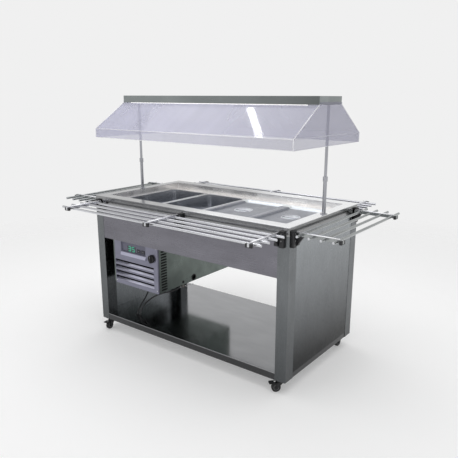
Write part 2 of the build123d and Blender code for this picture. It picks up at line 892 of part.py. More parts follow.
# Lever of the drain cock, a hub with a bent wire handle
lever_x = drain_x + cock_radius
lever_z = cock_top - cock_height / 2
with BuildPart() as drain_lever:
    with BuildSketch(Plane.YZ.offset(lever_x + knob_gap)):
        with Locations((drain_y, lever_z)):
            Circle(lever_hub_radius)
            Circle(lever_hub_radius - drain_wall + running_clearance, mode=Mode.SUBTRACT)
    extrude(amount=lever_hub_length)
    with BuildLine() as lever_path:
        wire_x = lever_x + knob_gap + lever_hub_length / 2
        hub_side = drain_y + lever_hub_radius - lever_wire / 4
        FilletPolyline(
            (wire_x, hub_side, lever_z),
            (wire_x, drain_y + lever_first_bend, lever_z),
            (wire_x, drain_y + lever_second_bend, lever_z - lever_drop),
            (wire_x, drain_y + lever_length, lever_z - lever_drop),
            radius=lever_wire,
        )
    with BuildSketch(Plane(origin=lever_path.line @ 0, z_dir=lever_path.line % 0)):
        Circle(lever_wire / 2)
    sweep(path=lever_path.line)
save(drain_lever.part, "drain_lever")


def corner_radii(route):
    """Bend radius at each inner point: a share of the shorter run over the half turn's tangent."""
    radii = []
    for before, here, after in zip(route, route[1:], route[2:]):
        first = Vector(here) - Vector(before)
        second = Vector(after) - Vector(here)
        half_turn = radians(first.get_angle(second)) / 2
        radii.append(hose_bend_share * min(first.length, second.length) / tan(half_turn))
    return radii


def make_hose(route):
    """One drain hose swept along straight runs and tangent arcs."""
    radii = corner_radii(route)
    print("hose bend radii", [round(radius) for radius in radii])
    with BuildPart() as hose:
        with BuildLine() as path:
            FilletPolyline(*route, radius=radii)
        with BuildSketch(Plane(origin=path.line @ 0, z_dir=path.line % 0)):
            Circle(hose_radius)
            Circle(hose_bore, mode=Mode.SUBTRACT)
        sweep(path=path.line)
    print("hose length", round(sum(edge.length for edge in path.line.edges())))
    return hose.part


drain_hoses = Compound([make_hose(well_hose_route), make_hose(tray_hose_route)])
save(drain_hoses, "drain_hoses")

# Rubber grommets: two where the hoses pass the shelf, two in the unit's side
with BuildPart() as grommets:
    with BuildSketch(Plane.XY.offset(shelf_top - sheet)):
        with Locations(grommet_spots):
            Circle(hose_radius + grommet_wall)
    extrude(amount=sheet + grommet_height)
    with BuildSketch(Plane.XY.offset(shelf_top)):
        with Locations(grommet_spots):
            Circle(hose_radius + grommet_wall + grommet_lip)
    extrude(amount=grommet_height)
    with BuildSketch(Plane.XY.offset(shelf_top - sheet)):
        with Locations(grommet_spots):
            Circle(hose_radius + grommet_clearance)
    extrude(amount=2 * grommet_height, mode=Mode.SUBTRACT)
    with BuildSketch(Plane.YZ.offset(unit_right - sheet)):
        with Locations((cover_face_y + side_hole_back, unit_bottom + side_hole_up)):
            Circle(side_hole_radius)
        with Locations((cover_face_y + small_hole_back, unit_bottom + small_hole_up)):
            Circle(small_hole_radius)
    extrude(amount=sheet)
    with BuildSketch(Plane.YZ.offset(unit_right)):
        with Locations((cover_face_y + side_hole_back, unit_bottom + side_hole_up)):
            Circle(side_hole_radius + grommet_lip)
        with Locations((cover_face_y + small_hole_back, unit_bottom + small_hole_up)):
            Circle(small_hole_radius + grommet_lip / 2)
    extrude(amount=side_grommet_height)
    with BuildSketch(Plane.YZ.offset(unit_right - sheet)):
        with Locations((cover_face_y + side_hole_back, unit_bottom + side_hole_up)):
            Circle(side_hole_radius - grommet_wall)
        with Locations((cover_face_y + small_hole_back, unit_bottom + small_hole_up)):
            Circle(small_hole_radius - grommet_wall)
    extrude(amount=grommet_height + sheet, mode=Mode.SUBTRACT)
save(grommets.part, "grommets")

# Lower canopy posts, tubes that stand in the worktop's end rims
with BuildPart() as lower_posts:
    with BuildSketch(Plane.XY.offset(counter_height - lower_post_below)):
        with GridLocations(2 * post_x, 0, 2, 1):
            Circle(lower_post_radius)
    extrude(amount=lower_post_top - counter_height + lower_post_below)
    with BuildSketch(Plane.XY.offset(counter_height)):
        with GridLocations(2 * post_x, 0, 2, 1):
            Circle(foot_radius)
    extrude(amount=foot_height, taper=foot_slope_angle)
    with BuildSketch(Plane.XY.offset(counter_height - lower_post_below)):
        with GridLocations(2 * post_x, 0, 2, 1):
            Circle(upper_post_radius + post_clearance)
    extrude(until=Until.LAST, mode=Mode.SUBTRACT)
save(lower_posts.part, "lower_posts")

# Clamping collars at the head of the lower posts
collar_bottom = lower_post_top - collar_height / 2
with BuildPart() as post_collars:
    with BuildSketch(Plane.XY.offset(collar_bottom)):
        with GridLocations(2 * post_x, 0, 2, 1):
            Circle(collar_radius)
    extrude(amount=collar_height)
    collar_rims = post_collars.edges().filter_by(GeomType.CIRCLE)
    fillet(collar_rims, radius=collar_edge)
    with BuildSketch(Plane.XY.offset(collar_bottom)):
        with GridLocations(2 * post_x, 0, 2, 1):
            Circle(lower_post_radius)
    extrude(amount=lower_post_top - collar_bottom, mode=Mode.SUBTRACT)
    with BuildSketch(Plane.XY.offset(lower_post_top)):
        with GridLocations(2 * post_x, 0, 2, 1):
            Circle(upper_post_radius + post_clearance)
    extrude(amount=collar_height, mode=Mode.SUBTRACT)
save(post_collars.part, "post_collars")

# Upper canopy posts, sliding in the lower ones, with a plate that carries the light box
with BuildPart() as upper_posts:
    upper_post_bottom = lower_post_top - upper_post_overlap
    plate_bottom = box_underside - post_plate_gauge
    with BuildSketch(Plane.XY.offset(upper_post_bottom)):
        with GridLocations(2 * post_x, 0, 2, 1):
            Circle(upper_post_radius)
            Circle(upper_post_radius - upper_post_wall, mode=Mode.SUBTRACT)
    extrude(amount=plate_bottom - upper_post_bottom)
    with BuildSketch(Plane.XY.offset(plate_bottom)):
        with GridLocations(2 * post_x, 0, 2, 1):
            Rectangle(post_plate_width, post_plate_depth)
    extrude(amount=post_plate_gauge)
save(upper_posts.part, "upper_posts")

# Light box, an open channel with closed ends and two lamp clips
lamp_z = box_underside + box_height - lamp_drop
with BuildPart() as light_box:
    with BuildSketch(Plane.XY.offset(box_underside)):
        Rectangle(box_length, box_depth)
    extrude(amount=box_height)
    fillet(light_box.faces().sort_by(Axis.Z)[-1].edges(), radius=box_gauge)
    with BuildSketch(Plane.XY.offset(box_underside + box_gauge)):
        Rectangle(box_length - 2 * box_gauge, box_depth - 2 * box_gauge)
    extrude(amount=box_height - 2 * box_gauge, mode=Mode.SUBTRACT)
    with BuildSketch(Plane.XY.offset(box_underside)):
        Rectangle(box_length - 2 * box_end_plate, box_depth - 2 * box_gauge)
    extrude(amount=box_gauge, mode=Mode.SUBTRACT)
    for side in (-1, 1):
        clip_x = side * (lamp_length / 2 - lamp_clip_inset) - lamp_clip_gauge / 2
        with BuildSketch(Plane.YZ.offset(clip_x)):
            clip_top = box_underside + box_height - box_gauge
            clip_bottom = lamp_z - lamp_clip_below
            with Locations((0, (clip_top + clip_bottom) / 2)):
                Rectangle(lamp_clip_width, clip_top - clip_bottom)
            with Locations((0, lamp_z)):
                Circle(lamp_radius + lamp_clip_gap, mode=Mode.SUBTRACT)
        extrude(amount=lamp_clip_gauge)
save(light_box.part, "light_box")

# Fluorescent lamp with its end caps and pins
with BuildPart() as lamp_tube:
    with BuildSketch(Plane.YZ.offset(-lamp_length / 2)):
        with Locations((0, lamp_z)):
            Circle(lamp_radius)
    extrude(amount=lamp_length)
    fillet(lamp_tube.edges().filter_by(GeomType.CIRCLE), radius=lamp_edge)
    for side in (-1, 1):
        with BuildSketch(Plane.YZ.offset(side * lamp_length / 2)):
            with Locations((0, lamp_z)):
                with GridLocations(lamp_pin_pitch, 0, 2, 1):
                    Circle(lamp_pin_radius)
        extrude(amount=side * lamp_pin_length)
save(lamp_tube.part, "lamp_tube")

# Diffuser plate between the canopy's hems
hem_y = box_depth / 2 - box_gauge
with BuildPart() as light_diffuser:
    with BuildSketch(Plane.XY.offset(box_underside)):
        Rectangle(box_length - 2 * box_end_plate, 2 * (hem_y - canopy_gauge))
    extrude(amount=diffuser_gauge)
save(light_diffuser.part, "light_diffuser")


# Long canopy sheets, bent acrylic hung inside the light box's long walls
canopy_lip = canopy_shoulder - canopy_lip_drop
canopy_slope = atan((box_underside - canopy_shoulder) / (canopy_reach - hem_y))
lip_drop = canopy_gauge * tan((radians(90) - canopy_slope) / 2)
with BuildPart() as canopy_long_sheets:
    with BuildSketch(Plane.YZ.offset(-box_length / 2 + canopy_end_play)):
        for side in (-1, 1):
            with BuildLine():
                Polyline(
                    (side * hem_y, box_underside + canopy_hem),
                    (side * hem_y, box_underside),
                    (side * canopy_reach, canopy_shoulder),
                    (side * canopy_reach, canopy_lip),
                    (side * (canopy_reach - canopy_gauge), canopy_lip),
                    (side * (canopy_reach - canopy_gauge), canopy_shoulder - lip_drop),
                    (side * (hem_y - canopy_gauge), box_underside - lip_drop),
                    (side * (hem_y - canopy_gauge), box_underside + canopy_hem),
                    close=True,
                )
            make_face()
    extrude(amount=box_length - 2 * canopy_end_play)
    for side in (-1, 1):
        with BuildSketch(Plane.XY.offset(box_underside)):
            with Locations((side * (box_length - box_end_plate) / 2, 0)):
                Rectangle(box_end_plate, box_depth)
        extrude(amount=canopy_hem, mode=Mode.SUBTRACT)
save(canopy_long_sheets.part, "canopy_long_sheets")

# End canopy sheets, flat acrylic outside the light box's ends
with BuildPart() as canopy_end_sheets:
    for side in (-1, 1):
        with BuildSketch(Plane.YZ.offset(side * box_length / 2)):
            with BuildLine():
                Polyline(
                    (-hem_y, box_underside + canopy_hem),
                    (hem_y, box_underside + canopy_hem),
                    (hem_y, box_underside),
                    (canopy_reach, canopy_shoulder),
                    (canopy_reach, canopy_lip),
                    (-canopy_reach, canopy_lip),
                    (-canopy_reach, canopy_shoulder),
                    (-hem_y, box_underside),
                    close=True,
                )
            make_face()
        extrude(amount=side * canopy_gauge)
save(canopy_end_sheets.part, "canopy_end_sheets")

# Tray slides, drawn reaching towards -Y from a face in the plane Y = 0
bar_z = counter_height - slide_drop
bar_places = [(-slide_first_bar - bar * slide_bar_pitch, bar_z) for bar in range(slide_bars)]
arm_top = bar_z + slide_arm_above_bar
arm_bottom = arm_top - slide_arm_height
pivot_z = counter_height - pivot_drop
bracket_bottom = counter_height - bracket_top_drop - bracket_height


def make_tray_slide(bar_start, bar_end, arm_places):
    """Closed round tubes welded through flat arms, with a vent hole under each tube."""
    with BuildPart() as slide:
        with BuildSketch(Plane.XZ.offset(slide_arm_start)):
            with Locations([(arm_x, (arm_top + arm_bottom) / 2) for arm_x in arm_places]):
                RectangleRounded(slide_arm_width, slide_arm_height, slide_arm_edge)
        extrude(amount=slide_arm_reach - slide_arm_start)
        with BuildSketch(Plane.YZ.offset(bar_start)):
            with Locations(bar_places):
                Circle(slide_bar_radius)
        extrude(amount=bar_end - bar_start)
        with BuildSketch(Plane.YZ.offset(bar_start + slide_bar_end_wall)):
            with Locations(bar_places):
                Circle(slide_bar_radius - slide_bar_wall)
        extrude(amount=bar_end - bar_start - 2 * slide_bar_end_wall, mode=Mode.SUBTRACT)
        with BuildSketch(Plane.XY.offset(bar_z - slide_bar_radius)):
            with Locations([(bar_start + bar_vent_inset, bar_y) for bar_y, _ in bar_places]):
                Circle(bar_vent_radius)
        extrude(amount=slide_bar_radius, mode=Mode.SUBTRACT)
    return slide.part


def make_slide_fittings(arm_places, bracket_sides):
    """Black hinge legs, clamp knobs with their pivot pins, and clips round the arms' ends."""
    with BuildPart() as fittings:
        for arm_x, outward in zip(arm_places, bracket_sides):
            with BuildSketch(Plane.YZ.offset(arm_x - slide_arm_width / 2)):
                with Locations((-pivot_out, pivot_z)):
                    Circle(leg_hub_radius)
                with BuildLine():
                    Line((-leg_top_near, arm_bottom), (-leg_top_far, arm_bottom))
                make_hull()
            extrude(amount=slide_arm_width)
            with BuildSketch(Plane.YZ.offset(arm_x - outward * slide_arm_width / 2)):
                with Locations((-pivot_out, pivot_z)):
                    Circle(clamp_knob_radius)
            extrude(amount=-outward * clamp_knob_width)
            with BuildSketch(Plane.YZ.offset(arm_x + outward * slide_arm_width / 2)):
                with Locations((-pivot_out, pivot_z)):
                    Circle(pivot_radius)
            extrude(amount=outward * (bracket_gap + pivot_length))
        clip_places = [(arm_x, clip_length / 2 - slide_arm_reach) for arm_x in arm_places]
        with BuildSketch(Plane.XY.offset(arm_bottom - clip_floor)):
            with Locations(clip_places):
                RectangleRounded(clip_width, clip_length, clip_corner)
        extrude(amount=clip_floor + slide_arm_height - clip_below_arm_top)
        with BuildSketch(Plane.XY.offset(arm_bottom)):
            with Locations(clip_places):
                Rectangle(slide_arm_width, clip_length)
        extrude(amount=slide_arm_height, mode=Mode.SUBTRACT)
    return fittings.part


def make_brackets(arm_places, bracket_sides):
    """Moulded brackets that carry the arms' pivot pins."""
    with BuildPart() as brackets:
        for arm_x, outward in zip(arm_places, bracket_sides):
            near_x = arm_x + outward * (slide_arm_width / 2 + bracket_gap)
            with BuildSketch(Plane.XY.offset(bracket_bottom)):
                with Locations((near_x + outward * bracket_width / 2, -bracket_depth / 2)):
                    Rectangle(bracket_width, bracket_depth)
            extrude(amount=bracket_height)
        front_edges = brackets.edges().filter_by(Axis.Z).group_by(Axis.Y)[0]
        fillet(front_edges, radius=bracket_round)
        for arm_x, outward in zip(arm_places, bracket_sides):
            near_x = arm_x + outward * (slide_arm_width / 2 + bracket_gap)
            with BuildSketch(Plane.YZ.offset(near_x)):
                with Locations((-pivot_out, pivot_z)):
                    Circle(pivot_radius + pivot_clearance)
            extrude(amount=outward * (pivot_length + pivot_end_gap), mode=Mode.SUBTRACT)
    return brackets.part


long_arms = (-half_length + slide_arm_inset, 0, half_length - slide_arm_inset)
short_arms = (-half_depth + side_arm_inset, half_depth - side_arm_inset)
long_bars = (long_arms[0] - long_bar_start, long_arms[-1] + long_bar_end)
short_bars = (short_arms[0] - short_bar_start, short_arms[-1] + short_bar_end)
front_face = Plane(origin=(0, -half_depth, 0), x_dir=(1, 0, 0), z_dir=(0, 0, 1))
rear_face = Plane(origin=(0, half_depth, 0), x_dir=(-1, 0, 0), z_dir=(0, 0, 1))
left_face = Plane(origin=(-half_length, 0, 0), x_dir=(0, -1, 0), z_dir=(0, 0, 1))
right_face = Plane(origin=(half_length, 0, 0), x_dir=(0, 1, 0), z_dir=(0, 0, 1))
slide_sides = {
    "front": (front_face, long_bars, long_arms, (-1, 1, 1)),
    "rear": (rear_face, long_bars, long_arms, (-1, 1, 1)),
    "left": (left_face, short_bars, short_arms, (-1, 1)),
    "right": (right_face, short_bars, short_arms, (-1, 1)),
}
all_brackets = []
for side_name, (face, bar_ends, arm_places, bracket_sides) in slide_sides.items():
    tray_slide = face.location * make_tray_slide(*bar_ends, arm_places)
    fittings = face.location * make_slide_fittings(arm_places, bracket_sides)
    all_brackets += (face.location * make_brackets(arm_places, bracket_sides)).solids()
    save(tray_slide, f"tray_slide_{side_name}")
    save(fittings, f"slide_fittings_{side_name}")
save(Compound(all_brackets), "slide_brackets")

# Caster plates with their kingpins, under the four legs
caster_x = half_length - caster_inset_x
caster_y = half_depth - caster_inset_y
plate_underside = frame_underside - caster_plate_gauge
with BuildPart() as caster_plates:
    with BuildSketch(Plane.XY.offset(plate_underside)):
        with GridLocations(2 * caster_x, 2 * caster_y, 2, 2):
            RectangleRounded(caster_plate, caster_plate, body_corner)
    extrude(amount=caster_plate_gauge)
    with BuildSketch(Plane.XY.offset(plate_underside)):
        with GridLocations(2 * caster_x, 2 * caster_y, 2, 2):
            Circle(kingpin_radius)
    extrude(amount=-kingpin_drop)
    with BuildSketch(Plane.XY.offset(plate_underside - kingpin_drop)):
        with GridLocations(2 * caster_x, 2 * caster_y, 2, 2):
            Circle(kingpin_radius + kingpin_head_lip)
    extrude(amount=kingpin_head)
save(caster_plates.part, "caster_plates")


def make_fork():
    """Swivel fork about the Z axis, trailing towards +X, with its axle."""
    leg_inside = wheel_width / 2 + fork_gap
    race_top = plate_underside - crown_top_gap
    crown_end = caster_trail - fork_crown_inset
    with BuildPart() as fork:
        for side in (-1, 1):
            with BuildSketch(Plane.XZ.offset(-side * leg_inside)):
                with BuildLine():
                    Polyline(
                        (-race_radius, crown_underside + crown_gauge),
                        (-race_radius, crown_underside),
                        (caster_trail - fork_eye_radius, wheel_radius),
                        (caster_trail + fork_eye_radius, wheel_radius),
                        (crown_end, crown_underside),
                        (crown_end, crown_underside + crown_gauge),
                        close=True,
                    )
                make_face()
                with Locations((caster_trail, wheel_radius)):
                    Circle(fork_eye_radius)
            extrude(amount=-side * fork_gauge)
        with BuildSketch(Plane.XY.offset(crown_underside)):
            with Locations(((crown_end - race_radius) / 2, 0)):
                Rectangle(crown_end + race_radius, 2 * (leg_inside + fork_gauge))
        extrude(amount=crown_gauge)
        with BuildSketch(Plane.XY.offset(crown_underside)):
            Circle(race_radius)
        extrude(amount=race_top - crown_underside)
        with BuildSketch(Plane.XY.offset(crown_underside)):
            Circle(kingpin_radius + running_clearance)
        extrude(amount=race_top - crown_underside, mode=Mode.SUBTRACT)
        with BuildSketch(Plane.XZ.offset(-leg_inside - fork_gauge)):
            with Locations((caster_trail, wheel_radius)):
                Circle(wheel_bore)
        extrude(amount=2 * (leg_inside + fork_gauge))
        for side in (-1, 1):
            with BuildSketch(Plane.XZ.offset(-side * (leg_inside + fork_gauge))):
                with Locations((caster_trail, wheel_radius)):
                    Circle(axle_head_radius)
            extrude(amount=-side * axle_head_height)
            with BuildSketch(Plane.XZ.offset(-side * (leg_inside + fork_gauge))):
                with Locations((pedal_pivot_x, pedal_height)):
                    Circle(pedal_pivot_radius)
            extrude(amount=-side * (pedal_gap + pedal_gauge))
    return fork.part


def make_wheel():
    """Wheel about the Y axis through the trail, with a groove round the middle."""
    with BuildPart() as wheel:
        with BuildSketch(Plane.XZ.offset(-wheel_width / 2)):
            with Locations((caster_trail, wheel_radius)):
                Circle(wheel_radius)
        extrude(amount=wheel_width)
        fillet(wheel.edges().filter_by(GeomType.CIRCLE), radius=wheel_edge)
        with BuildSketch(Plane.XZ.offset(-wheel_groove_width / 2)):
            with Locations((caster_trail, wheel_radius)):
                Circle(wheel_radius)
                Circle(wheel_radius - wheel_groove_depth, mode=Mode.SUBTRACT)
        extrude(amount=wheel_groove_width, mode=Mode.SUBTRACT)
        for side in (-1, 1):
            with BuildSketch(Plane.XZ.offset(-side * wheel_width / 2)):
                with Locations((caster_trail, wheel_radius)):
                    Circle(wheel_dish_radius)
                    Circle(wheel_boss_radius, mode=Mode.SUBTRACT)
            extrude(amount=side * wheel_dish_depth, mode=Mode.SUBTRACT)
        with BuildSketch(Plane.XZ.offset(-wheel_width / 2)):
            with Locations((caster_trail, wheel_radius)):
                Circle(wheel_bore + running_clearance)
        extrude(amount=wheel_width, mode=Mode.SUBTRACT)
    return wheel.part


def make_brake():
    """Brake pedal that straddles the fork and turns on two studs."""
    ear_inside = wheel_width / 2 + fork_gap + fork_gauge + pedal_gap
    with BuildPart() as brake:
        for side in (-1, 1):
            with BuildSketch(Plane.XZ.offset(-side * ear_inside)):
                with Locations((pedal_pivot_x, pedal_height)):
                    Circle(pedal_ear_radius)
                with Locations(((pedal_pivot_x + pedal_reach) / 2, pedal_height)):
                    Rectangle(pedal_reach - pedal_pivot_x, pedal_gauge)
                with Locations((pedal_pivot_x, pedal_height)):
                    Circle(pedal_pivot_radius + running_clearance, mode=Mode.SUBTRACT)
            extrude(amount=-side * pedal_gauge)
        with BuildSketch(Plane.XY.offset(pedal_height - pedal_gauge / 2)):
            with Locations(((pedal_plate_start + pedal_reach) / 2, 0)):
                Rectangle(pedal_reach - pedal_plate_start, 2 * (ear_inside + pedal_gauge))
        extrude(amount=pedal_gauge)
        tip = brake.edges().filter_by(Axis.Z).group_by(Axis.X)[-1]
        fillet(tip, radius=pedal_corner)
    return brake.part


caster_spots = {
    "front_left": (-caster_x, -caster_y, front_left_heading),
    "front_right": (caster_x, -caster_y, front_right_heading),
    "rear_left": (-caster_x, caster_y, rear_left_heading),
    "rear_right": (caster_x, caster_y, rear_right_heading),
}
for corner, (spot_x, spot_y, heading) in caster_spots.items():
    place = Location((spot_x, spot_y, 0), (0, 0, heading))
    save(place * make_fork(), f"caster_fork_{corner}")
    save(place * make_wheel(), f"caster_wheel_{corner}")
    if corner.startswith("front"):
        save(place * make_brake(), f"caster_brake_{corner}")

# Food pans, deep-drawn with a flat flange, hung in the well side by side
pan_body_width = pan_width - 2 * pan_flange
pan_body_length = pan_length - 2 * pan_flange


def make_pan(middle_x):
    """One food pan in its place in the well."""
    with BuildPart() as pan:
        with BuildSketch(Plane.XY.offset(ledge_top)):
            with Locations((middle_x, 0)):
                RectangleRounded(pan_width, pan_length, pan_corner)
        extrude(amount=pan_gauge)
        with BuildSketch(Plane.XY.offset(ledge_top)):
            with Locations((middle_x, 0)):
                RectangleRounded(pan_body_width, pan_body_length, pan_body_corner)
        extrude(amount=-pan_depth, taper=pan_draft_angle)
        floor_edges = pan.faces().sort_by(Axis.Z)[0].edges()
        fillet(floor_edges, radius=pan_corner)
        with BuildSketch(Plane.XY.offset(ledge_top + pan_gauge)):
            with Locations((middle_x, 0)):
                RectangleRounded(pan_body_width - 2 * pan_gauge, pan_body_length - 2 * pan_gauge,
                                 pan_body_corner - pan_gauge)
        inner = extrude(amount=-pan_depth, taper=pan_draft_angle, mode=Mode.PRIVATE)
        inner_floor = inner.faces().sort_by(Axis.Z)[0].edges()
        add(inner.fillet(pan_corner - pan_gauge, inner_floor), mode=Mode.SUBTRACT)
    return pan.part


# Lids, dished sheets with a sunk round grip and a strap handle
lid_bottom = ledge_top + pan_gauge


def lid_solid(middle_x, top):
    """The lid's outer form below the given level: flange, dish and round grip."""
    dish_width = pan_width - 2 * lid_dish_border
    dish_length = pan_length - 2 * lid_dish_border
    with BuildPart() as form:
        with BuildSketch(Plane.XY.offset(top)):
            with Locations((middle_x, 0)):
                RectangleRounded(dish_width, dish_length, pan_corner)
        extrude(amount=-lid_dish_depth, taper=lid_dish_angle)
        with BuildSketch(Plane.XY.offset(top - lid_dish_depth)):
            with Locations((middle_x, 0)):
                Circle(grip_radius)
        extrude(amount=-grip_depth, taper=grip_angle)
    return form.part


def make_lid(middle_x):
    """One lid lying on its pan's flange."""
    lid_top = lid_bottom + lid_gauge
    with BuildPart() as lid:
        with BuildSketch(Plane.XY.offset(lid_bottom)):
            with Locations((middle_x, 0)):
                RectangleRounded(pan_width, pan_length, pan_corner)
        extrude(amount=lid_gauge)
        add(lid_solid(middle_x, lid_bottom))
        add(lid_solid(middle_x, lid_top), mode=Mode.SUBTRACT)
        dish_floor = lid_top - lid_dish_depth
        with BuildSketch(Plane.XY.offset(dish_floor - strap_gauge)):
            with Locations((middle_x, 0)):
                SlotOverall(strap_length, strap_width)
        extrude(amount=strap_gauge)
    return lid.part


for number in range(pan_count):
    middle_x = (number - (pan_count - 1) / 2) * pan_pitch
    save(make_pan(middle_x), f"pan_{number + 1}")
    if number >= pan_count / 2:
        save(make_lid(middle_x), f"lid_{number + 1}")

# Screws of the unit's cover and of the canopy posts' feet
with BuildPart() as fasteners:
    with BuildSketch(Plane.XZ.offset(-cover_face_y)):
        with Locations((cover_x, cover_z)):
            with GridLocations(cover_width - 2 * screw_side_inset,
                               cover_top - unit_bottom - 2 * screw_top_inset, 2, 2):
                Circle(screw_head_radius)
    extrude(amount=screw_head_height)
    fillet(fasteners.faces().sort_by(Axis.Y)[:4].edges(), radius=screw_head_edge)
save(fasteners.part, "fasteners")
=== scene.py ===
"""Looks of the refrigerated buffet cart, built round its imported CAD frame."""
import json
from math import cos, pi, radians, sin

import bmesh
import bpy
from mathutils import Matrix, Vector


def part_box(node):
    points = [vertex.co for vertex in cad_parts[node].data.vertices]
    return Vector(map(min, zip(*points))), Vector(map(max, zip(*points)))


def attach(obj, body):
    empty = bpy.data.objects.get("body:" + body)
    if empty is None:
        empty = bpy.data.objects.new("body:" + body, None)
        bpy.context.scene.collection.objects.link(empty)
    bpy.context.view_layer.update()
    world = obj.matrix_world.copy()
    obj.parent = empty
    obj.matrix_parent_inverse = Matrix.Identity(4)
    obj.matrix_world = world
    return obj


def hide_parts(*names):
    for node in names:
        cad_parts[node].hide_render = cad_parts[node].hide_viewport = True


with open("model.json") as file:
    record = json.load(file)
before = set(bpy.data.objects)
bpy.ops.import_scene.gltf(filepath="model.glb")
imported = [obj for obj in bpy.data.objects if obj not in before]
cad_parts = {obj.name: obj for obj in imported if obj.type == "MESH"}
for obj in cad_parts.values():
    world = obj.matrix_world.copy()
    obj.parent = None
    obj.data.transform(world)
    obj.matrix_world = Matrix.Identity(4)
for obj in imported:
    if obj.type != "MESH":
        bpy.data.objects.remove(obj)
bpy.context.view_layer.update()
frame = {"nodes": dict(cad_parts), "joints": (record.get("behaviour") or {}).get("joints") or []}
nodes = frame["nodes"]
MM = 0.001


# Camera, fitted to the photograph
CAMERA_PLACE = (1.984, -2.498, 1.501)
CAMERA_TURN = 36.74
CAMERA_TILT = -14.63
CAMERA_ROLL = 0.24
CAMERA_LENS = 41.73
CAMERA_SENSOR = 36
CAMERA_SHIFT = (-0.0185, 0.0150)


def make_camera():
    camera = bpy.data.objects.new("camera", bpy.data.cameras.new("camera"))
    camera.data.lens = CAMERA_LENS
    camera.data.sensor_width = CAMERA_SENSOR
    camera.data.shift_x, camera.data.shift_y = CAMERA_SHIFT
    turn = Matrix.Rotation(radians(CAMERA_TURN), 4, "Z")
    tilt = Matrix.Rotation(radians(90 + CAMERA_TILT), 4, "X")
    roll = Matrix.Rotation(radians(CAMERA_ROLL), 4, "Z")
    camera.matrix_world = Matrix.Translation(CAMERA_PLACE) @ turn @ tilt @ roll
    bpy.context.collection.objects.link(camera)
    bpy.context.scene.camera = camera


# Materials
def screen(red, green, blue):
    """Linear colour of a shade given as it looks on a screen, from 0 to 255."""
    return tuple(((value / 255 + 0.055) / 1.055) ** 2.4 for value in (red, green, blue))


def scaled(color, factor):
    return tuple(min(1.0, channel * factor) for channel in color)


def new_material(name, color, metallic=0.0, roughness=0.5):
    material = bpy.data.materials.new(name)
    material.use_nodes = True
    shader = shader_of(material)
    shader.inputs["Base Color"].default_value = (*color, 1)
    shader.inputs["Metallic"].default_value = metallic
    shader.inputs["Roughness"].default_value = roughness
    return material


def shader_of(material):
    return material.node_tree.nodes["Principled BSDF"]


def noise_in(material, stretch, detail=3.0):
    """Noise along the object's own axes, with its pitch per metre for each axis."""
    tree = material.node_tree
    place = tree.nodes.new("ShaderNodeTexCoord")
    scale = tree.nodes.new("ShaderNodeMapping")
    scale.inputs["Scale"].default_value = stretch
    noise = tree.nodes.new("ShaderNodeTexNoise")
    noise.inputs["Scale"].default_value = 1.0
    noise.inputs["Detail"].default_value = detail
    tree.links.new(place.outputs["Object"], scale.inputs["Vector"])
    tree.links.new(scale.outputs["Vector"], noise.inputs["Vector"])
    return noise.outputs["Fac"]


def spread(material, factor, low, high, start=0.3, end=0.7):
    """Maps a value between start and end onto a range of numbers."""
    tree = material.node_tree
    ramp = tree.nodes.new("ShaderNodeMapRange")
    ramp.inputs["From Min"].default_value = start
    ramp.inputs["From Max"].default_value = end
    ramp.inputs["To Min"].default_value = low
    ramp.inputs["To Max"].default_value = high
    tree.links.new(factor, ramp.inputs["Value"])
    return ramp.outputs["Result"]


def computed(material, operation, *values):
    """The result of a Math node."""
    tree = material.node_tree
    math = tree.nodes.new("ShaderNodeMath")
    math.operation = operation
    for index, value in enumerate(values):
        tree.links.new(value, math.inputs[index])
    return math.outputs["Value"]


def mixed(material, factor, first, second, blend="MIX"):
    """A colour between two colours, each a constant or another node's output."""
    tree = material.node_tree
    mix = tree.nodes.new("ShaderNodeMix")
    mix.data_type = "RGBA"
    mix.blend_type = blend
    for socket, value in (("A", first), ("B", second)):
        if isinstance(value, bpy.types.NodeSocket):
            tree.links.new(value, mix.inputs[socket])
        else:
            mix.inputs[socket].default_value = (*value, 1)
    tree.links.new(factor, mix.inputs["Factor"])
    return mix.outputs["Result"]


def tint(material, factor, dark, light):
    """Base colour that wanders between two tones."""
    color = mixed(material, spread(material, factor, 0, 1), dark, light)
    material.node_tree.links.new(color, shader_of(material).inputs["Base Color"])
    return color


def paint_light_shift(material, color, other, axis, start, end, limits=None):
    """Paints light or shade into the base colour: takes it to another tone along an axis, as a room's
    soft reflections and shade would.

    limits are two distances from the middle along X, between which the other tone sets in.
    """
    tree = material.node_tree
    place = tree.nodes.new("ShaderNodeTexCoord")
    split = tree.nodes.new("ShaderNodeSeparateXYZ")
    tree.links.new(place.outputs["Object"], split.inputs["Vector"])
    factor = spread(material, split.outputs[axis], 0, 1, start, end)
    if limits:
        distance = computed(material, "ABSOLUTE", split.outputs["X"])
        factor = computed(material, "MULTIPLY", factor, spread(material, distance, 0, 1, *limits))
    result = mixed(material, factor, color, other)
    tree.links.new(result, shader_of(material).inputs["Base Color"])
    return result


SOFT_EDGE = 1.2 * MM
SOFT_EDGE_SAMPLES = 4


def relief(material, factor, distance, strength=0.3, edge=0.0):
    """Fine bump from a noise value, over edges that a small bevel softens."""
    tree = material.node_tree
    bump = tree.nodes.new("ShaderNodeBump")
    bump.inputs["Strength"].default_value = strength
    bump.inputs["Distance"].default_value = distance
    tree.links.new(factor, bump.inputs["Height"])
    if edge:
        bevel = tree.nodes.new("ShaderNodeBevel")
        bevel.samples = SOFT_EDGE_SAMPLES
        bevel.inputs["Radius"].default_value = edge
        tree.links.new(bevel.outputs["Normal"], bump.inputs["Normal"])
    tree.links.new(bump.outputs["Normal"], shader_of(material).inputs["Normal"])


FINE = 900
COARSE = 14
SMUDGE = 9
ALONG = 5
BRUSH_DEPTH = 0.2 * MM
BRUSH_GLOSS = (0.6, 0.9)
SMUDGE_GLOSS = 0.4
PATCH_GLOSS = (0.85, 1.2)


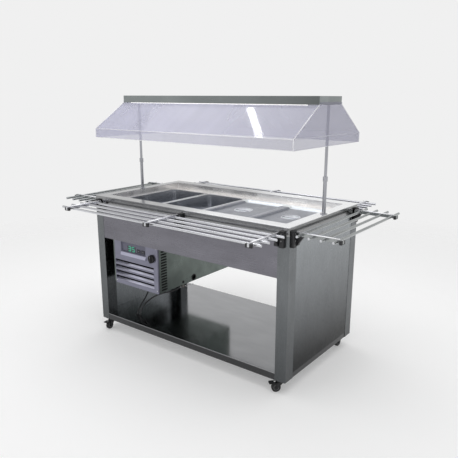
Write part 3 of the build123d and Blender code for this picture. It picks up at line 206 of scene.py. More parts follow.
def grain_along(axis, across):
    """Stretch that runs long along one axis and fine across the other two."""
    stretch = [across, across, across]
    stretch["XYZ".index(axis)] = ALONG
    return stretch


def brushed_steel(name, color, axis="X", roughness=0.3, wander=0.10, scratch=0.25, painted_light_shifts=()):
    """Stainless sheet brushed along one axis, with rolling bands, smudges and softened edges.

    Each painted light shift is (share, axis, start, end) and maybe limits: the tone goes to that share
    there, as painted shade or a painted highlight.
    """
    material = new_material(name, color, 1.0, roughness)
    bands = noise_in(material, grain_along(axis, COARSE), detail=2)
    tone = tint(material, bands, scaled(color, 1 - wander), scaled(color, 1 + wander))
    for share, *line in painted_light_shifts:
        tone = paint_light_shift(material, tone, scaled(color, share), *line)
    brush = noise_in(material, grain_along(axis, FINE), detail=2)
    smudges = noise_in(material, (SMUDGE, SMUDGE, SMUDGE), detail=4)
    brushed = spread(material, brush, *(roughness * share for share in BRUSH_GLOSS))
    smudged = spread(material, smudges, 0, roughness * SMUDGE_GLOSS)
    rough = computed(material, "ADD", brushed, smudged)
    material.node_tree.links.new(rough, shader_of(material).inputs["Roughness"])
    relief(material, brush, BRUSH_DEPTH, scratch, SOFT_EDGE)
    return material


def speckled(name, color, roughness=0.5, metallic=0.0, pitch=500, depth=0.2 * MM, wander=0.12):
    """Moulded or painted surface with a fine texture and slightly uneven gloss."""
    material = new_material(name, color, metallic, roughness)
    patches = noise_in(material, (COARSE, COARSE, COARSE))
    tint(material, patches, scaled(color, 1 - wander), scaled(color, 1 + wander))
    glossy, dull = (min(1, roughness * share) for share in PATCH_GLOSS)
    gloss = spread(material, patches, glossy, dull)
    material.node_tree.links.new(gloss, shader_of(material).inputs["Roughness"])
    pebbles = noise_in(material, (pitch, pitch, pitch), detail=2)
    relief(material, pebbles, depth)
    return material


STREAK = (11, 2, 1)
STREAK_TONES = (0.96, 1.05)
SHEET_ROUGHNESS = 0.06
SHEET_IOR = 1.49
SHEET_SHADE = 0.72
SHEET_SHADE_SPAN = (0.1, 0.75)


def clear_sheet(name, color, alpha):
    """Faintly tinted clear plastic with soft streaks, and painted shade that dims it towards its right
    end.
    """
    material = new_material(name, color, 0.0, SHEET_ROUGHNESS)
    shader = shader_of(material)
    shader.inputs["IOR"].default_value = SHEET_IOR
    shader.inputs["Alpha"].default_value = alpha
    streaks = noise_in(material, STREAK, detail=1)
    tone = tint(material, streaks, *(scaled(color, share) for share in STREAK_TONES))
    paint_light_shift(material, tone, scaled(color, SHEET_SHADE), "X", *SHEET_SHADE_SPAN)
    return material


def glowing(name, color, strength):
    material = new_material(name, color, 0.0, 0.4)
    shader = shader_of(material)
    shader.inputs["Emission Color"].default_value = (*color, 1)
    shader.inputs["Emission Strength"].default_value = strength
    return material


# Painted shade and painted highlights: where the steels' tones shift, from the sheet's own tone to the
# other
PANEL_SHADE_FALL = (0.80, 0.14)
PANEL_OUTSIDE = (0.7128, 0.7138)
LEG_SHADE_FALL = (0.60, 0.10)
RIM_FOLD_SHADE = (0.8988, 0.8965)
RIM_SHADE_SPAN = (0.22, -0.08)
SHELF_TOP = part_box("bottom_shelf")[1].z
SHELF_EDGE_SHADE = (SHELF_TOP - 1.5 * MM, SHELF_TOP - 4.5 * MM)
LID_PAINTED_SHINE = 3.1
LID_REAR_SHINE = (0.200, 0.206)
LID_DISH_DEPTH = 9 * MM
LID_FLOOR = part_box("lid_3")[1].z - LID_DISH_DEPTH
LID_BOWL_SHINE = (LID_FLOOR - 0.5 * MM, LID_FLOOR - 2 * MM)
BEAM_SHADE_SPAN = (-0.4, 0.7)
BEAM_FRONT = (0.7055, 0.7045)
# The stainless parts are one steel in lighter and darker tones, each near the tone its part shows as
# lit: painted light and shade in the base colours.
SHADES = {
    # Painted shade: the corner posts darken towards the floor.
    "frame_upright": brushed_steel("frame_upright", screen(114, 117, 119), "Z", 0.3,
                                   painted_light_shifts=((0.6, "Z", *LEG_SHADE_FALL),)),
    # Painted shade: the shelf's folded edge darkens just under its top.
    "shelf": brushed_steel("shelf", screen(162, 163, 165), "X", 0.12, scratch=0.1, wander=0.05,
                           painted_light_shifts=((0.2, "Z", *SHELF_EDGE_SHADE),)),
    "apron": brushed_steel("apron", screen(121, 120, 127), "X", 0.3),
    # Painted shade: the end panels' outer faces darken towards the floor.
    "end_panel": brushed_steel("end_panel", screen(152, 156, 159), "Z", 0.28,
                               wander=0.05, painted_light_shifts=((0.05, "Z", *PANEL_SHADE_FALL, PANEL_OUTSIDE),)),
    # Painted shade: the worktop darkens towards its left and on the fold under its top.
    "worktop": brushed_steel("worktop", screen(250, 251, 252), "X", 0.2, scratch=0.05, wander=0.03,
                             painted_light_shifts=((0.36, "X", *RIM_SHADE_SPAN), (0.31, "Z", *RIM_FOLD_SHADE))),
    "liner": brushed_steel("liner", screen(244, 242, 240), "X", 0.32, scratch=0.1, wander=0.05),
    "unit": brushed_steel("unit", screen(108, 116, 112), "X", 0.35),
    "unit_cover": brushed_steel("unit_cover", screen(130, 130, 145), "X", 0.4, wander=0.05),
    "pan": brushed_steel("pan", screen(190, 192, 196), "Y", 0.15, scratch=0.1),
    # Painted highlight: the lids' rear band and their sunk grips below the dish floor are taken near to
    # white, as painted reflections.
    "lid": brushed_steel("lid", screen(150, 153, 162), "Y", 0.34, scratch=0.05, wander=0.05,
                         painted_light_shifts=((LID_PAINTED_SHINE, "Y", *LID_REAR_SHINE), (LID_PAINTED_SHINE, "Z", *LID_BOWL_SHINE))),
    "polished": brushed_steel("polished", screen(205, 206, 210), "X", 0.16, scratch=0.1),
    # Painted shade: the side slides' bars are the front and rear slides' steel in a darker tone.
    "side_bars_shaded": brushed_steel("side_bars_shaded", screen(160, 163, 163), "Y", 0.2, scratch=0.1),
    "post": brushed_steel("post", screen(165, 166, 171), "Z", 0.18, scratch=0.1),
    # Painted shade: the light box's long faces darken towards its right end.
    "beam": brushed_steel("beam", screen(143, 148, 148), "X", 0.35,
                          painted_light_shifts=((0.42, "X", *BEAM_SHADE_SPAN, BEAM_FRONT),)),
    "black_plastic": speckled("black_plastic", (0.012, 0.012, 0.014), 0.42),
    # Painted shade for the black sheet and bands at the side vents; also the cover's dark seam.
    "black_shade_and_seam": speckled("black_shade_and_seam", (0.004, 0.004, 0.004), 0.95, pitch=300, depth=0.5 * MM),
    "knob_plastic": speckled("knob_plastic", (0.010, 0.010, 0.012), 0.75),
    # Painted highlights: the louvre lips and the sill are the cover's steel in lighter tones.
    "lip": brushed_steel("lip", screen(196, 196, 212), "X", 0.4, wander=0.03),
    "sill": brushed_steel("sill", screen(176, 176, 194), "X", 0.4, wander=0.03),
    # Painted highlight: near-white for the lids' edge and grip beads and strap caps.
    "grip_highlight": speckled("grip_highlight", screen(244, 244, 248), 0.3, metallic=0.35, depth=0.02 * MM, wander=0.02),
    # Painted highlight: near-white steel for the rods on the slide arms' tops.
    "arm_highlight": brushed_steel("arm_highlight", screen(250, 250, 254), "X", 0.45, scratch=0.05, wander=0.02),
    "case_plastic": speckled("case_plastic", screen(96, 96, 112), 0.5, wander=0.05),
    "button": speckled("button", screen(38, 38, 48), 0.5),
    "display": speckled("display", screen(58, 58, 68), 0.12, depth=0.02 * MM),
    "black_paint": speckled("black_paint", (0.012, 0.012, 0.013), 0.3),
    "caster_metal": speckled("caster_metal", (0.02, 0.02, 0.022), 0.35, metallic=0.4),
    "rubber": speckled("rubber", (0.014, 0.014, 0.015), 0.7, depth=0.4 * MM),
    "hub": speckled("hub", screen(120, 120, 122), 0.45),
    "hose": speckled("hose", screen(50, 50, 52), 0.35, depth=0.05 * MM),
    "brass": speckled("brass", screen(96, 94, 92), 0.35, metallic=1.0),
    "copper": speckled("copper", (0.45, 0.22, 0.12), 0.3, metallic=1.0),
    "fins": speckled("fins", screen(48, 49, 52), 0.5, metallic=0.6),
    "foam": speckled("foam", (0.6, 0.55, 0.4), 0.9, depth=1.0 * MM),
    "clear": clear_sheet("clear", screen(196, 196, 216), 0.42),
    # Painted highlight: near-white for the rods along the canopy sheets' edges.
    "clear_edge_highlight": speckled("clear_edge_highlight", screen(250, 250, 254), 0.2, depth=0.02 * MM, wander=0.03),
    "lamp": glowing("lamp", (1.0, 0.98, 0.95), 1.0),
    "diffuser": glowing("diffuser", (0.95, 0.95, 1.0), 1.0),
    "digits": glowing("digits", screen(52, 150, 118), 0.7),
    "marks": speckled("marks", screen(125, 125, 135), 0.5),
    "weld": brushed_steel("weld", screen(160, 160, 165), "Z", 0.45),
    "sealant": speckled("sealant", screen(150, 150, 152), 0.5, depth=0.1 * MM),
}

NODE_SHADES = {
    "corner_posts": "frame_upright", "end_panels": "end_panel", "bottom_shelf": "shelf",
    "aprons": "apron", "worktop": "worktop", "underside_panel": "apron", "well_liner": "liner",
    "insulation": "foam", "evaporator_coil": "copper", "pan_bars": "liner", "unit_housing": "unit",
    "unit_front_panel": "unit_cover", "thermostat_case": "case_plastic",
    "thermostat_display": "display", "compressor": "black_paint", "condenser_coil": "fins",
    "fan_motor": "black_paint", "grommets": "rubber", "drain_cock": "brass", "drain_hoses": "hose",
    "lower_posts": "post", "post_collars": "post", "slide_brackets": "black_plastic",
    "caster_plates": "caster_metal", "fasteners": "polished", "button_up": "button",
    "button_down": "button", "control_knob": "knob_plastic", "condenser_fan": "black_plastic",
    "drain_lever": "polished", "upper_posts": "post", "light_box": "beam", "lamp_tube": "lamp",
    "light_diffuser": "diffuser", "canopy_long_sheets": "clear", "canopy_end_sheets": "clear",
}
NODE_PREFIX_SHADES = {
    "tray_slide_front": "polished", "tray_slide_rear": "polished", "tray_slide_": "side_bars_shaded",
    "slide_fittings_": "black_plastic", "caster_fork_": "caster_metal",
    "caster_wheel_": "rubber", "caster_brake_": "caster_metal", "pan_": "pan", "lid_": "lid",
}


def dress_nodes():
    """Gives every CAD node its material."""
    for name, node in nodes.items():
        shade = NODE_SHADES.get(name)
        for prefix, prefix_shade in NODE_PREFIX_SHADES.items():
            if shade is None and name.startswith(prefix):
                shade = prefix_shade
        for material_slot in node.material_slots:
            material_slot.material = SHADES[shade]


# Floor, world and lamps
BACKDROP = screen(240, 240, 240)
FLOOR_COLOR = screen(232, 232, 232)
FLOOR_GLOW = 0.26
FLOOR_SIZE = 16
FADE_START = 1.6
FADE_END = 4.2
SKY_STEPS = ((0.32, 1.0), (0.55, 0.62), (1.0, 0.55))


def make_floor():
    """A pale floor that fades into the backdrop away from the cart."""
    bpy.ops.mesh.primitive_plane_add(size=FLOOR_SIZE, location=(0, 0, 0))
    floor = bpy.context.object
    floor.name = "floor"
    material = new_material("floor", FLOOR_COLOR, 0.0, 0.7)
    tree = material.node_tree
    shader = shader_of(material)
    shader.inputs["Specular IOR Level"].default_value = 0.0
    shader.inputs["Emission Color"].default_value = (*BACKDROP, 1)
    shader.inputs["Emission Strength"].default_value = FLOOR_GLOW
    place = tree.nodes.new("ShaderNodeTexCoord")
    length = tree.nodes.new("ShaderNodeVectorMath")
    length.operation = "LENGTH"
    tree.links.new(place.outputs["Object"], length.inputs[0])
    fade = spread(material, length.outputs["Value"], 1, 0, FADE_START, FADE_END)
    tree.links.new(fade, shader.inputs["Alpha"])
    floor.data.materials.append(material)


def make_world():
    """A studio that is pale round the horizon and darker above, where the soft boxes hang."""
    world = bpy.data.worlds.new("world")
    bpy.context.scene.world = world
    world.use_nodes = True
    tree = world.node_tree
    direction = tree.nodes.new("ShaderNodeTexCoord")
    split = tree.nodes.new("ShaderNodeSeparateXYZ")
    ramp = tree.nodes.new("ShaderNodeValToRGB")
    stops = ramp.color_ramp.elements
    while len(stops) < len(SKY_STEPS):
        stops.new(0.5)
    for stop, (height, share) in zip(stops, SKY_STEPS):
        stop.position = height
        stop.color = (*scaled(BACKDROP, share), 1)
    tree.links.new(direction.outputs["Generated"], split.inputs["Vector"])
    tree.links.new(split.outputs["Z"], ramp.inputs["Fac"])
    tree.links.new(ramp.outputs["Color"], tree.nodes["Background"].inputs["Color"])


def area_light(name, place, target, size, power, along):
    """A rectangular soft box that faces a point, with its long side near a direction."""
    light = bpy.data.lights.new(name, "AREA")
    light.shape = "RECTANGLE"
    light.size, light.size_y = size
    light.energy = power
    lamp = bpy.data.objects.new(name, light)
    away = (Vector(place) - Vector(target)).normalized()
    side = (Vector(along) - away * away.dot(Vector(along))).normalized()
    up = away.cross(side)
    turn = Matrix((side, up, away)).transposed().to_4x4()
    lamp.matrix_world = Matrix.Translation(place) @ turn
    lamp.visible_camera = False
    bpy.context.collection.objects.link(lamp)


# Each soft box: name, place, the point it faces, size, power and where its long side points
SOFT_BOXES = (
    ("overhead", (-0.2, 0.2, 3.5), (-0.2, 0.2, 0.9), (5.0, 3.6), 62, (1, 0, 0)),
    ("front", (-1.2, -4.2, 2.4), (0, 0, 0.7), (2.4, 1.6), 12, (1, 0, 0)),
    ("strip", (-1.03, 0.49, 3.30), (0.40, -0.24, 1.39), (0.62, 0.075), 2.0, (0.263, -0.345, -0.067)),
)


def make_lights():
    for soft_box in SOFT_BOXES:
        area_light(*soft_box)


# Small pieces in mesh code
def add_piece(name, work, shade, body, smooth=True):
    """Turns a bmesh into a piece that rides on a body."""
    bmesh.ops.recalc_face_normals(work, faces=work.faces)
    mesh = bpy.data.meshes.new(name)
    work.to_mesh(mesh)
    work.free()
    for polygon in mesh.polygons:
        polygon.use_smooth = smooth
    mesh.materials.append(SHADES[shade])
    piece = bpy.data.objects.new(name, mesh)
    bpy.context.collection.objects.link(piece)
    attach(piece, body)


def add_rows(work, rows, closed=True):
    """Faces between rows of points, each row a closed ring, and the rows closed too if asked."""
    verts = [[work.verts.new(point) for point in row] for row in rows]
    pairs = list(zip(verts, verts[1:]))
    if closed:
        pairs.append((verts[-1], verts[0]))
    count = len(rows[0])
    for here, there in pairs:
        for side in range(count):
            after = (side + 1) % count
            work.faces.new((here[side], there[side], there[after], here[after]))
    return verts


def circle(centre, turn, radius, lift, count):
    """Points of a circle about a turned axis, lifted along it."""
    points = []
    for step in range(count):
        angle = 2 * pi * step / count
        points.append(centre + turn @ Vector((radius * cos(angle), radius * sin(angle), lift)))
    return points


def turn_to(axis):
    return Vector(axis).to_track_quat("Z", "X").to_matrix()


def add_ring(work, centre, axis, ring_radius, bead_radius, segments=24, sides=8):
    """A torus about any axis, for welds, beads and rolled rims."""
    turn = turn_to(axis)
    rows = []
    for side in range(sides):
        angle = 2 * pi * side / sides
        reach = ring_radius + bead_radius * cos(angle)
        rows.append(circle(Vector(centre), turn, reach, bead_radius * sin(angle), segments))
    add_rows(work, rows)


def add_dome(work, centre, axis, radius, height, segments=20, rings=5):
    """A low dome that closes a bar's end or makes a screw's head."""
    turn = turn_to(axis)
    rows = []
    for ring in range(rings):
        lift = pi / 2 * ring / rings
        rows.append(circle(Vector(centre), turn, radius * cos(lift), height * sin(lift), segments))
    verts = add_rows(work, rows, closed=False)
    top = work.verts.new(Vector(centre) + turn @ Vector((0, 0, height)))
    for step in range(segments):
        work.faces.new((verts[-1][step], verts[-1][(step + 1) % segments], top))
    work.faces.new(verts[0][::-1])


def add_cap(work, centre, half_length, half_width, height, segments=32, rings=6):
    """A long low oval cap on a level face, its long side along X."""
    rows = []
    for ring in range(rings):
        lift = pi / 2 * ring / rings
        row = []
        for step in range(segments):
            angle = 2 * pi * step / segments
            across = Vector((half_length * cos(angle), half_width * sin(angle), 0)) * cos(lift)
            row.append(centre + across + Vector((0, 0, height * sin(lift))))
        rows.append(row)
    verts = add_rows(work, rows, closed=False)
    work.faces.new(verts[0][::-1])
    work.faces.new(verts[-1])


def add_rod(work, start, end, radius, sides=10):
    """A round rod between two points, closed at both ends."""
    start, end = Vector(start), Vector(end)
    turn = turn_to(end - start)
    rows = [circle(middle, turn, radius, 0, sides) for middle in (start, end)]
    verts = add_rows(work, rows, closed=False)
    work.faces.new(verts[0][::-1])
    work.faces.new(verts[1])


def add_plate(work, outline, front, back):
    """A flat plate in the XZ plane with the given outline, between two levels of Y."""
    faces = []
    for level in (front, back):
        faces.append([work.verts.new((x, level, z)) for x, z in outline])
    work.faces.new(faces[0])
    work.faces.new(faces[1][::-1])
    for step in range(len(outline)):
        after = (step + 1) % len(outline)
        work.faces.new((faces[0][step], faces[1][step], faces[1][after], faces[0][after]))


def add_extrusion(work, profile, start, end):
    """A bar along X with a closed profile given as points of Y and Z."""
    rows = [[Vector((x, y, z)) for y, z in profile] for x in (start, end)]
    verts = add_rows(work, rows, closed=False)
    work.faces.new(verts[0][::-1])
    work.faces.new(verts[1])


def rounded_outline(low, high, radius, height, steps=6):
    """Points of a rounded rectangle, counter-clockwise."""
    points = []
    corners = ((high.x, high.y, 0), (low.x, high.y, 90), (low.x, low.y, 180), (high.x, low.y, 270))
    for corner_x, corner_y, start in corners:
        centre_x = corner_x - radius if corner_x == high.x else corner_x + radius
        centre_y = corner_y - radius if corner_y == high.y else corner_y + radius
        for step in range(steps + 1):
            angle = radians(start + 90 * step / steps)
            along, across = radius * cos(angle), radius * sin(angle)
            points.append(Vector((centre_x + along, centre_y + across, height)))
    return points


def add_loop_tube(work, points, radius, sides=6):
    """A closed tube along level points."""
    rows = []
    for index, point in enumerate(points):
        ahead = (points[(index + 1) % len(points)] - points[index - 1]).normalized()
        outward = Vector((ahead.y, -ahead.x, 0))
        row = []
        for side in range(sides):
            angle = 2 * pi * side / sides
            row.append(point + (outward * cos(angle) + Vector((0, 0, sin(angle)))) * radius)
        rows.append(row)
    add_rows(work, rows)


# Canopy: near-white rods along the clear sheets' polished edges and glue lines, as painted highlights
CANOPY_SHOULDER = 1312 * MM
BEAM_GAUGE = 1.2 * MM
EDGE_RADIUS = 2.0 * MM
FOLD_RADIUS = 1.4 * MM


def make_canopy_edge_highlights():
    low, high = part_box("canopy_long_sheets")
    beam_low, beam_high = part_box("light_box")
    work = bmesh.new()
    for front in (-1, 1):
        hem = (front * (beam_high.y - BEAM_GAUGE), beam_low.z)
        shoulder = (front * high.y, CANOPY_SHOULDER)
        lip = (front * high.y, low.z)
        for end in (low.x, high.x):
            add_rod(work, (end, *hem), (end, *shoulder), EDGE_RADIUS)
            add_rod(work, (end, *shoulder), (end, *lip), EDGE_RADIUS)
        add_rod(work, (low.x, *shoulder), (high.x, *shoulder), FOLD_RADIUS)
        add_rod(work, (low.x, *lip), (high.x, *lip), FOLD_RADIUS)
    for end in (low.x, high.x):
        for height in (low.z, CANOPY_SHOULDER):
            add_rod(work, (end, low.y, height), (end, high.y, height), FOLD_RADIUS)
    add_piece("canopy_edge_highlights", work, "clear_edge_highlight", "canopy")


HEM_GLOW_RADIUS = 1.9 * MM


def make_hem_glow():
    """Lamp light that shows along the hems, just under the light box."""
    low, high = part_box("light_diffuser")
    beam_low, beam_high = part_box("light_box")
    work = bmesh.new()
    for front in (-1, 1):
        depth = front * (beam_high.y - BEAM_GAUGE)
        height = beam_low.z - HEM_GLOW_RADIUS
        add_rod(work, (low.x, depth, height), (high.x, depth, height), HEM_GLOW_RADIUS)
    add_piece("hem_glow", work, "lamp", "canopy")


# Tray slides: near-white rods on the arms' tops as painted highlights, welds round the bars, domed bar
# ends and bracket screws
SLIDE_TURNS = {"front": 0, "right": 90, "rear": 180, "left": 270}
FIRST_BAR = 37 * MM
BAR_PITCH = 64 * MM
BAR_COUNT = 4
BAR_LEVEL = 861 * MM
BAR_RADIUS = 7 * MM
ARM_HALF_WIDTH = 6 * MM
ARM_TOP = 871 * MM
ARM_EDGE_SPAN = (9 * MM, 240 * MM)
ARM_EDGE_RADIUS = 4 * MM
LONG_ARMS = {-658 * MM: -1, 0: 1, 658 * MM: 1}
SHORT_ARMS = {-333 * MM: -1, 333 * MM: 1}
LONG_BAR = (-731 * MM, 710 * MM)
SHORT_BAR = (-378 * MM, 435 * MM)
BRACKET_OFFSET = 20.5 * MM
BRACKET_DEPTH = 16 * MM
WELD_RADIUS = 1.6 * MM
END_DOME = 1.5 * MM
SCREW_HEIGHTS = (832 * MM, 866 * MM)
BRACKET_SCREW_RADIUS = 4 * MM
BRACKET_SCREW_HEAD = 1.2 * MM


def slide_frame(side):
    """Turns a point drawn in front of a face, reaching towards -Y, to the slide's side."""
    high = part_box("worktop")[1]
    face = high.y if side in ("front", "rear") else high.x
    return Matrix.Rotation(radians(SLIDE_TURNS[side]), 4, "Z") @ Matrix.Translation((0, -face, 0))


def make_slide_details(side):
    place = slide_frame(side)
    turn = place.to_3x3()
    along = turn @ Vector((1, 0, 0))
    forward = turn @ Vector((0, -1, 0))
    is_long = side in ("front", "rear")
    arms = LONG_ARMS if is_long else SHORT_ARMS
    start, end = LONG_BAR if is_long else SHORT_BAR
    welds = bmesh.new()
    ends = bmesh.new()
    for bar in range(BAR_COUNT):
        distance = FIRST_BAR + bar * BAR_PITCH
        for arm in arms:
            for edge in (-ARM_HALF_WIDTH, ARM_HALF_WIDTH):
                centre = place @ Vector((arm + edge, -distance, BAR_LEVEL))
                add_ring(welds, centre, along, BAR_RADIUS, WELD_RADIUS, segments=20, sides=6)
        for reach, outward in ((start, -along), (end, along)):
            tip = place @ Vector((reach, -distance, BAR_LEVEL))
            add_dome(ends, tip, outward, BAR_RADIUS, END_DOME)
    # Painted highlight: a near-white rod along each arm's top.
    edges = bmesh.new()
    for arm in arms:
        near, far = (place @ Vector((arm, -distance, ARM_TOP)) for distance in ARM_EDGE_SPAN)
        add_rod(edges, near, far, ARM_EDGE_RADIUS)
    body = f"slide_{side}"
    add_piece(f"slide_arm_highlights_{side}", edges, "arm_highlight", body)
    add_piece(f"slide_welds_{side}", welds, "weld", body)
    add_piece(f"slide_ends_{side}", ends, "polished", body)
    screws = bmesh.new()
    for arm, outward in arms.items():
        for height in SCREW_HEIGHTS:
            centre = place @ Vector((arm + outward * BRACKET_OFFSET, -BRACKET_DEPTH, height))
            add_dome(screws, centre, forward, BRACKET_SCREW_RADIUS, BRACKET_SCREW_HEAD)
    add_piece(f"bracket_screws_{side}", screws, "hub", "cart")


# Pans and lids: rolled rims, and the bead and strap cap of each sunk grip, a lid's in near-white as
# painted highlights
PAN_CORNER = 14 * MM
RIM_RADIUS = 0.9 * MM
GRIP_RADIUS = 53 * MM
GRIP_BEAD = 2.6 * MM
STRAP_CAP = (46 * MM, 8.5 * MM, 3.2 * MM)
LIDDED_PANS = (3, 4)


def make_rolled_rim(node, name, body, grip=False):
    """A bead round a pan's or lid's edge, and for a lid one round its grip and a cap on its strap, a
    lid's in near-white as painted highlights.
    """
    low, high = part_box(node)
    inset = Vector((RIM_RADIUS, RIM_RADIUS, 0))
    work = bmesh.new()
    outline = rounded_outline(low + inset, high - inset, PAN_CORNER, high.z - RIM_RADIUS / 2)
    add_loop_tube(work, outline, RIM_RADIUS)
    if grip:
        middle = (low + high) / 2
        centre = Vector((middle.x, middle.y, high.z - LID_DISH_DEPTH))
        add_ring(work, centre, (0, 0, 1), GRIP_RADIUS, GRIP_BEAD, segments=64)
        add_cap(work, centre, *STRAP_CAP)
    add_piece(name, work, "grip_highlight" if grip else "polished", body)


def make_pan_rims():
    for number in (1, 2, 3, 4):
        make_rolled_rim(f"pan_{number}", f"pan_rim_{number}", f"pan_{number}")
    for number in LIDDED_PANS:
        make_rolled_rim(f"lid_{number}", f"lid_highlight_beads_{number}", f"lid_{number}", True)


# Thermostat: digits on the display and arrows on the buttons
SEGMENTS = {
    "a": ((0, 2), (1, 2)), "b": ((1, 2), (1, 1)), "c": ((1, 1), (1, 0)), "d": ((0, 0), (1, 0)),
    "e": ((0, 1), (0, 0)), "f": ((0, 2), (0, 1)), "g": ((0, 1), (1, 1)),
}
DIGITS = {"3": "abgcd", "5": "afgcd"}
DIGIT_WIDTH = 21 * MM
DIGIT_HEIGHT = 28 * MM
DIGIT_PITCH = 34 * MM
SEGMENT_HALF = 2.3 * MM
INSET_MARK = 0.2 * MM
PROUD_MARK = 0.1 * MM


def add_bar(work, left, right, bottom, top, face):
    """A slim six-sided bar of a digit, proud of a face that looks towards -Y."""
    if right - left > top - bottom:
        tip = (top - bottom) / 2
        outline = [(left, (top + bottom) / 2), (left + tip, bottom), (right - tip, bottom),
                   (right, (top + bottom) / 2), (right - tip, top), (left + tip, top)]
    else:
        tip = (right - left) / 2
        outline = [((left + right) / 2, bottom), (right, bottom + tip), (right, top - tip),
                   ((left + right) / 2, top), (left, top - tip), (left, bottom + tip)]
    add_plate(work, outline, face - PROUD_MARK, face + INSET_MARK)


def make_display_digits(text):
    low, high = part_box("thermostat_display")
    work = bmesh.new()
    start_x = (low.x + high.x) / 2 - DIGIT_PITCH * (len(text) - 1) / 2 - DIGIT_WIDTH / 2
    base_z = (low.z + high.z) / 2 - DIGIT_HEIGHT / 2
    for place, character in enumerate(text):
        corner_x = start_x + place * DIGIT_PITCH
        for segment in DIGITS[character]:
            (x0, z0), (x1, z1) = SEGMENTS[segment]
            left, right = sorted((corner_x + x0 * DIGIT_WIDTH, corner_x + x1 * DIGIT_WIDTH))
            bottom, top = sorted((base_z + z0 * DIGIT_HEIGHT / 2, base_z + z1 * DIGIT_HEIGHT / 2))
            if x0 == x1:
                add_bar(work, left - SEGMENT_HALF, right + SEGMENT_HALF, bottom, top, low.y)
            else:
                add_bar(work, left, right, bottom - SEGMENT_HALF, top + SEGMENT_HALF, low.y)
    add_piece("display_digits", work, "digits", "cart", False)


ARROW_HALF = 4 * MM


def make_button_arrows():
    for name, point in (("button_up", 1), ("button_down", -1)):
        low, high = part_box(name)
        middle = (low + high) / 2
        work = bmesh.new()
        base = middle.z - point * ARROW_HALF / 2
        outline = [(middle.x - ARROW_HALF, base), (middle.x + ARROW_HALF, base),
                   (middle.x, middle.z + point * ARROW_HALF)]
        add_plate(work, outline, low.y - PROUD_MARK, low.y + INSET_MARK)
        add_piece(f"{name}_arrow", work, "marks", name, False)


KNOB_MARK_HALF = 0.9 * MM
KNOB_MARK_START = 6 * MM
KNOB_MARK_END = 20 * MM


def make_knob_mark():
    low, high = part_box("control_knob")
    middle = (low + high) / 2
    work = bmesh.new()
    left, right = middle.x - KNOB_MARK_HALF, middle.x + KNOB_MARK_HALF
    bottom, top = middle.z + KNOB_MARK_START, middle.z + KNOB_MARK_END
    outline = [(left, bottom), (right, bottom), (right, top), (left, top)]
    add_plate(work, outline, low.y - PROUD_MARK, low.y + 2 * INSET_MARK)
    add_piece("knob_mark", work, "marks", "knob", False)


# Unit: louvre lips and the sill under the thermostat in lighter tones as painted highlights, a black
# sheet and bands at the side vents as painted shade, the cover's seam
UNIT_BOTTOM = 345 * MM
UNIT_RIGHT = -201 * MM
MAT_HEIGHT = 292 * MM
LOUVRE_COUNT = 4
LOUVRE_PITCH = 36 * MM
LOUVRE_SILL = 16 * MM
LOUVRE_KNEE = 11 * MM
LOUVRE_HEAD = 24 * MM
LOUVRE_RECESS = 8 * MM
LOUVRE_ENDS = (-576 * MM, -236 * MM)
LIP_PROUD = 1.2 * MM
LIP_GAUGE = 0.8 * MM
LIP_STEPS = 6
SILL_DROP = (0, 17 * MM, 21 * MM, 23 * MM)
SILL_PROUD = (0, 5 * MM, 5 * MM, 0)
MAT_SPAN = (-326 * MM, -276 * MM)
MAT_INSET = 3 * MM
PLEAT_PITCH = 6 * MM
PLEAT_DEPTH = 1.5 * MM
SEAM_RADIUS = 0.9 * MM
VENT_COUNT = 16
VENT_PITCH = 17.3 * MM
VENT_FROM_COVER = 34 * MM
VENT_LENGTH = 36 * MM
VENT_HEIGHT = 9 * MM
VENT_FOOT = 352.5 * MM
FIRST_VENT = VENT_FOOT + VENT_PITCH / 2
EDGING_SIDE = 6.5 * MM
EDGING_TOP = 0.7 * MM
EDGING_PROUD = 0.4 * MM
EDGING_PROFILE = ((EDGING_SIDE, EDGING_TOP, 0), (EDGING_SIDE, EDGING_TOP, EDGING_PROUD),
                  (0, 0, EDGING_PROUD), (0, 0, 0))


def make_louvre_lips():
    """A curved lip on the slope of each louvre blade, lighter than the cover as a painted highlight."""
    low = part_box("unit_front_panel")[0]
    work = bmesh.new()
    for blade in range(LOUVRE_COUNT):
        foot = UNIT_BOTTOM + LOUVRE_SILL + blade * LOUVRE_PITCH
        outer = []
        for step in range(LIP_STEPS + 1):
            share = step / LIP_STEPS
            depth = low.y + LOUVRE_RECESS * share - LIP_PROUD * cos(pi / 2 * share)
            outer.append((depth, foot + LOUVRE_KNEE + (LOUVRE_HEAD - LOUVRE_KNEE) * share))
        inner = [(depth + LIP_GAUGE + LIP_PROUD, level) for depth, level in reversed(outer)]
        add_extrusion(work, outer + inner, *LOUVRE_ENDS)
    add_piece("louvre_lips", work, "lip", "cart")


def make_case_sill():
    """A sloping sill under the thermostat's case, lighter than the cover as a painted highlight."""
    low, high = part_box("thermostat_case")
    cover_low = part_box("unit_front_panel")[0]
    work = bmesh.new()
    profile = [(cover_low.y - proud, low.z - drop) for proud, drop in zip(SILL_PROUD, SILL_DROP)]
    add_extrusion(work, profile, low.x, high.x)
    add_piece("case_sill", work, "sill", "cart", False)


def make_vent_shade_mat():
    """A pleated black sheet behind the side vents, painted shade that keeps the slots dark."""
    face = UNIT_RIGHT - MAT_INSET
    outline = []
    level = UNIT_BOTTOM + PLEAT_PITCH
    while level < UNIT_BOTTOM + MAT_HEIGHT:
        outline.append((face - PLEAT_DEPTH, level))
        outline.append((face, level + PLEAT_PITCH / 2))
        level += PLEAT_PITCH
    back = face - 2 * PLEAT_DEPTH
    outline += [(back, level), (back, UNIT_BOTTOM + PLEAT_PITCH)]
    work = bmesh.new()
    add_plate(work, outline, *MAT_SPAN)
    add_piece("vent_shade_mat", work, "black_shade_and_seam", "cart", False)


